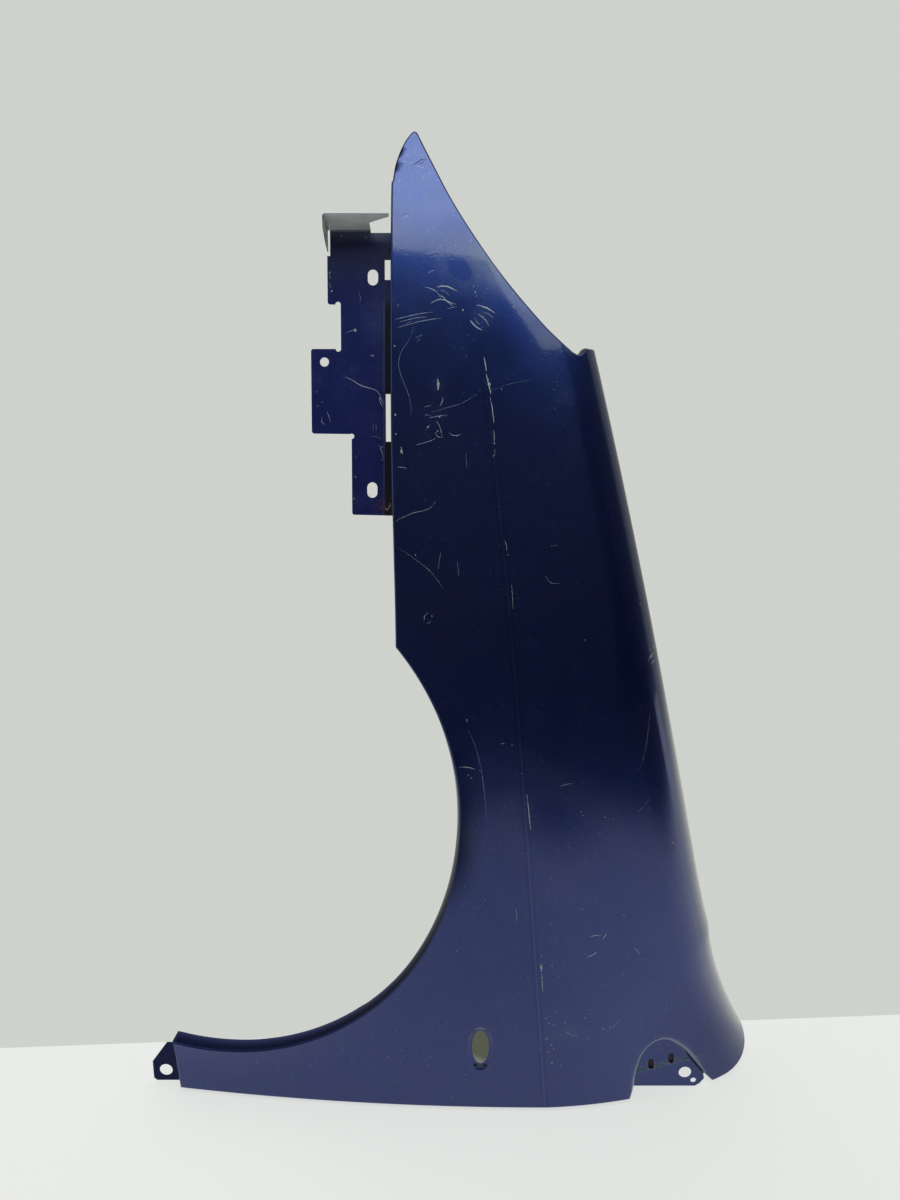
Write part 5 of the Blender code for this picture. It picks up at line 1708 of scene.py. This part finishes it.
def chip_look(name):
    """A chip down to primer, darker where bare steel shows."""
    look = Shader(name)
    spot = look.grain(*CHIP_SPOTS)
    look.set(Base_Color=look.mix(spot, PRIMER_GREY, BARE_BROWN), Roughness=0.65)
    return look.material


def inner_look(name):
    """The unseen side: thin dull body colour over primer, with road dust."""
    look = Shader(name)
    dust = look.grain(*INNER_DUST)
    fine = look.grain(*INNER_FINE)
    film = look.times(dust, look.span(fine, 0.35, 1.0))
    look.set(Base_Color=look.mix(look.times(film, INNER_SHARE), INNER_BLUE, ROAD_DUST),
             Roughness=look.span(film, 0.42, 0.85),
             Normal=look.bump(fine, 0.12, 0.0006))
    return look.material


def plate_paint(name):
    """The bracket's paint: thinner and duller, with rust at its foot, rubbed edges, painted
    highlights on its folds and top, and painted shade on its web and upper part.
    """
    look = Shader(name)
    foot = look.near(RUST_SPOT, RUST_RADIUS)
    speck = look.grain(*RUST_SPECKS)
    rust = look.times(look.ramp(foot, 0.25, 0.8), speck)
    dust = look.grain(*PLATE_DUST)
    fine = look.grain(*PLATE_FINE)
    film = look.times(look.times(dust, fine), PLATE_FILM_SHARE)
    colour = look.mix(film, PLATE_BLUE, DUST_GREY)
    # Painted highlights on the folds, with rubbed wear
    wear_and_highlight = look.times(look.value("wear_and_highlight"), look.span(fine, 0.6, 1.0))
    colour = look.mix(wear_and_highlight, colour, RUBBED_AND_HIGHLIGHT_GREY)
    place = look.axes()
    upper, lower = (plate_spot(*pixel) + Vector((STAND[0], STAND[2])) for pixel in WEB_LINE)
    slope = (upper[0] - lower[0]) / (upper[1] - lower[1])
    start, end = upper[0] - slope * upper[1], upper[1]
    aside = look.math("SUBTRACT", place["X"], look.times(place["Z"], slope, False), False)
    aside = look.band(aside, start, *WEB_EDGE)
    below = look.band(place["Z"], end, *WEB_END)
    # Painted shade on the upper part of the plate
    high = look.band(place["Z"], end, *UPPER_SHADE)
    colour = look.mix(high, colour, PLATE_SHADE_DARK)
    # Painted highlight along the plate's top
    crown = look.band(place["Z"], BRACKET_TOP + STAND[2], *CROWN_HIGHLIGHT)
    colour = look.mix(crown, colour, RUBBED_AND_HIGHLIGHT_GREY)
    # Painted highlight on the fold's edge beside the web
    edge = look.steps(aside, WEB_EDGE_HIGHLIGHT)
    colour = look.mix(look.times(edge, below), colour, RUBBED_AND_HIGHLIGHT_GREY)
    # Painted shade on the plate beside the web
    web_shade = look.steps(aside, WEB_FACE_SHADE)
    colour = look.mix(look.times(web_shade, below), colour, PLATE_SHADE_DARK)
    colour = look.mix(rust, colour, RUST_BROWN)
    rough = look.math("ADD", look.span(dust, 0.30, 0.42), look.times(rust, 0.5))
    look.set(Base_Color=colour, Roughness=rough, Metallic=0.6, Coat_Weight=0.55,
             Coat_Roughness=0.10, Normal=look.bump(fine, 0.06, 0.0005))
    return look.material


def bare_reflection_look(name):
    """Dull bare grey steel, a little stained, drawn nearly white as a painted reflection of bright
    surroundings.
    """
    look = Shader(name)
    stain = look.grain(*BARE_STAINS)
    look.set(Base_Color=look.mix(look.times(stain, STAIN_SHARE), BARE_REFLECTION_GREY, BARE_STAIN),
             Roughness=0.50, Metallic=0.1)
    return look.material


def plain(name, colour, roughness=0.9):
    look = Shader(name)
    look.set(Base_Color=(*colour, 1.0), Roughness=roughness)
    return look.material


def card(name, corners, material, seen=False):
    """A flat stage piece: floor, flag or light panel, from its corners in the row frame."""
    thing = link_object(name, [Vector(corner) for corner in corners],
                        [list(range(len(corners)))], [material])
    thing.visible_camera = seen


def floor_paint():
    """The pale floor, dimmer away from the object, where only the paint mirrors it, with painted
    shadows there and an olive painted shadow behind the panel.
    """
    look = Shader("floor_paint")
    place = look.axes()
    ahead = look.steps(look.ramp(place["Y"], 0.0, -FLOOR_SPAN), FLOOR_FADE)
    aside = look.math("SUBTRACT", place["X"], place["Y"], False)
    aside = look.steps(look.ramp(aside, SIDE_START, SIDE_START + SIDE_SPAN), SIDE_FADE)
    share = look.math("MINIMUM", ahead, aside)
    share = look.times(share, look.ramp(look.near(DIM_SPOT, DIM_WIDTH), 0.0, 0.8, 1.0, DIM_LEFT))
    foot = look.ramp(look.near(NEAR_SPOT, NEAR_WIDTH), 0.0, 0.7, 1.0, NEAR_LEFT)
    share = look.times(share, foot)
    share = look.times(share, look.ramp(place["X"], *FLOOR_SIDE_DIM))
    path = look.add("ShaderNodeLightPath").outputs
    camera = path["Is Camera Ray"]
    share = look.math("MAXIMUM", share, camera)
    shade = look.ramp(look.near(SHADE_SPOT, SHADE_WIDTH), *SHADE_EDGE)
    lit, pale = (look.mix(shade, look.mix(share, (0.0, 0.0, 0.0), colour), SHADE_OLIVE)
                 for colour in (FLOOR_COLOUR, FLOOR_SEEN))
    look.set(Base_Color=lit, Roughness=0.9)
    seen = look.times(look.math("MAXIMUM", camera, path["Is Glossy Ray"]), FLOOR_SEEN_SHARE)
    glow = look.add("ShaderNodeEmission", {"Color": pale,
                                           "Strength": look.span(camera, *FLOOR_LEVELS)})
    look.show(look.add("ShaderNodeMixShader", {0: seen, 1: look.surface.outputs[0],
                                               2: glow.outputs[0]}).outputs[0])
    return look.material


def sky_light():
    """The light panel, a little mottled and dimmer along its lower edge."""
    look = Shader("panel_light")
    share = look.steps(look.ramp(look.axes()["Z"], SKY_LOW, SKY_LOW + SKY_SPAN), SKY_FADE)
    mottle = look.grain(*SKY_MOTTLE)
    strength = look.times(look.times(share, mottle, False), SKY_STRENGTH, False)
    look.show(look.add("ShaderNodeEmission", {"Color": (*SKY_LIGHT, 1.0),
                                              "Strength": strength}).outputs[0])
    return look.material


def side_paint():
    """A grey side wall, paler at its foot."""
    look = Shader("side_paint")
    share = look.steps(look.ramp(look.axes()["Z"], *WALL_SPAN), WALL_FADE)
    look.set(Base_Color=look.mix(share, (0.0, 0.0, 0.0), WALL_TINT), Roughness=0.9)
    return look.material


def plain_grey(name, level):
    return plain(name, (level, level, level))


def build_stage():
    """Pale floor that ends at the wall's foot, a light panel above, dark flags in front."""
    rear = [(x, FLOOR_REAR + FLOOR_SLOPE * x)
            for x in (FLOOR_SIDE, FLOOR_BUMP[1][0], FLOOR_BUMP[0][0], -FLOOR_SIDE)]
    rear[2:2] = reversed(FLOOR_BUMP)
    front = [(side, -FLAG_AWAY - FLOOR_BEYOND) for side in (-FLOOR_SIDE, FLOOR_SIDE)]
    card("floor", [(*point, 0.0) for point in rear + front], floor_paint(), seen=True)
    cloth, velvet = plain_grey("flag_cloth", FLAG_GREY), plain_grey("flag_velvet", FLAG_DARK)
    for a, b in zip(FLAG_AZIMUTHS, FLAG_AZIMUTHS[1:]):
        upright(f"flag_{a + 60:03d}", (a, b), flag_away, FLAG_FOOT,
                [skyline_height(azimuth) for azimuth in (a, b)],
                cloth if a < FLAG_TURN else velvet)
    wall = side_paint()
    for a, b in zip(SIDE_AZIMUTHS, SIDE_AZIMUTHS[1:]):
        upright(f"side_{a}", (a, b), lambda azimuth: SIDE_AWAY, SIDE_FOOT,
                (SIDE_HEAD, SIDE_HEAD), wall)
    panel = [sky_point(azimuth, skyline(azimuth)) for azimuth in SKY_FOOT_AZIMUTHS]
    panel += [sky_point(azimuth, SKY_TOP) for azimuth in SKY_HEAD_AZIMUTHS]
    card("sky_panel", panel, sky_light())


def upright(name, azimuths, reach, foot, heads, material):
    """An upright card between two azimuths round the stage's middle."""
    places = []
    for azimuth in azimuths:
        turn, away = math.radians(azimuth), reach(azimuth)
        places.append((STAGE_EYE[0] + away * math.sin(turn), STAGE_EYE[1] - away * math.cos(turn)))
    (left, right), (low, high) = places, heads
    card(name, ((*left, foot), (*right, foot), (*right, high), (*left, low)), material)


def flag_away(azimuth):
    """How far away the flags stand: on a line in front, and at most so far to the side."""
    furthest = FLAG_AWAY * FLAG_FURTHEST
    if azimuth >= 60:
        return furthest
    return min(FLAG_AWAY / max(math.cos(math.radians(azimuth)), 0.0), furthest)


def skyline_height(azimuth):
    return STAGE_EYE[2] + flag_away(azimuth) * math.tan(math.radians(skyline(azimuth)))


def sky_point(azimuth, elevation):
    """A point of the tall plane that holds the light panel, in a direction from the eye."""
    turn, lift = math.radians(azimuth), math.radians(elevation)
    away = SKY_AWAY / math.cos(turn)
    return Vector((STAGE_EYE[0] + away * math.sin(turn), STAGE_EYE[1] - SKY_AWAY,
                   STAGE_EYE[2] + away * math.tan(lift)))


def skyline(azimuth):
    """Elevation of the dark skyline, lower towards the right."""
    return SKYLINE - SKY_DROP * min(max((azimuth - SKYLINE_BEND) / SKYLINE_RUN, 0.0), 1.0)


def build_world():
    """Pale grey all round: the wall's colour to the eye and in gloss, softer as a light."""
    world = bpy.data.worlds.new("wall")
    bpy.context.scene.world = world
    world.use_nodes = True
    nodes = Nodes(world.node_tree)
    nodes.tree.nodes.clear()
    path = nodes.add("ShaderNodeLightPath").outputs
    seen = nodes.math("MAXIMUM", path["Is Camera Ray"], path["Is Glossy Ray"], False)
    seen = nodes.math("MAXIMUM", seen, path["Is Transmission Ray"], False)
    soft, wall = (nodes.add("ShaderNodeBackground", {"Color": (*colour, 1.0)}).outputs[0]
                  for colour in (AMBIENT, WALL_COLOUR))
    mix = nodes.add("ShaderNodeMixShader", {0: seen, 1: soft, 2: wall})
    nodes.add("ShaderNodeOutputWorld", {"Surface": mix.outputs[0]})


def build_camera():
    data = bpy.data.cameras.new("photo_camera")
    data.sensor_width = SENSOR
    data.lens = SENSOR * FOCAL_PIXELS / PHOTO_HEIGHT
    camera = bpy.data.objects.new("photo_camera", data)
    camera.location = Vector((CAMERA_X, -CAMERA_DISTANCE, CAMERA_HEIGHT)) + STAND
    camera.rotation_euler = (math.radians(90.0 - CAMERA_PITCH), 0.0, 0.0)
    bpy.context.scene.collection.objects.link(camera)
    bpy.context.scene.camera = camera


def main():
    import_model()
    bpy.context.scene.view_settings.view_transform = "Standard"

    panel_looks = [body_paint("panel_paint"), inner_look("panel_inner"),
                   scratch_look("panel_scratch"), chip_look("panel_chip"),
                   plain("panel_dent_shade", DENT_SHADE_BLUE, 0.6), body_paint("panel_clean", 0.2)]
    panel = build_panel(panel_looks)
    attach(panel, "root")
    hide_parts("fender_skin")
    # The web's near black material is painted shade
    plate = build_bracket([plate_paint("plate_paint"), bare_reflection_look("plate_bare_reflection"),
                           scratch_look("plate_scratch"), chip_look("plate_chip"),
                           plain("plate_web_shade", PLATE_SHADE_DARK, 0.7)])
    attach(plate, "root")
    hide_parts("bumper_bracket")

    clips = build_clips([plain("clip_rubber", CLIP_DARK, 0.6), plain("clip_stem", CLIP_BROWN, 0.7)])
    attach(clips, "root")

    build_stage()
    build_world()
    build_camera()
    bpy.context.view_layer.update()


main()
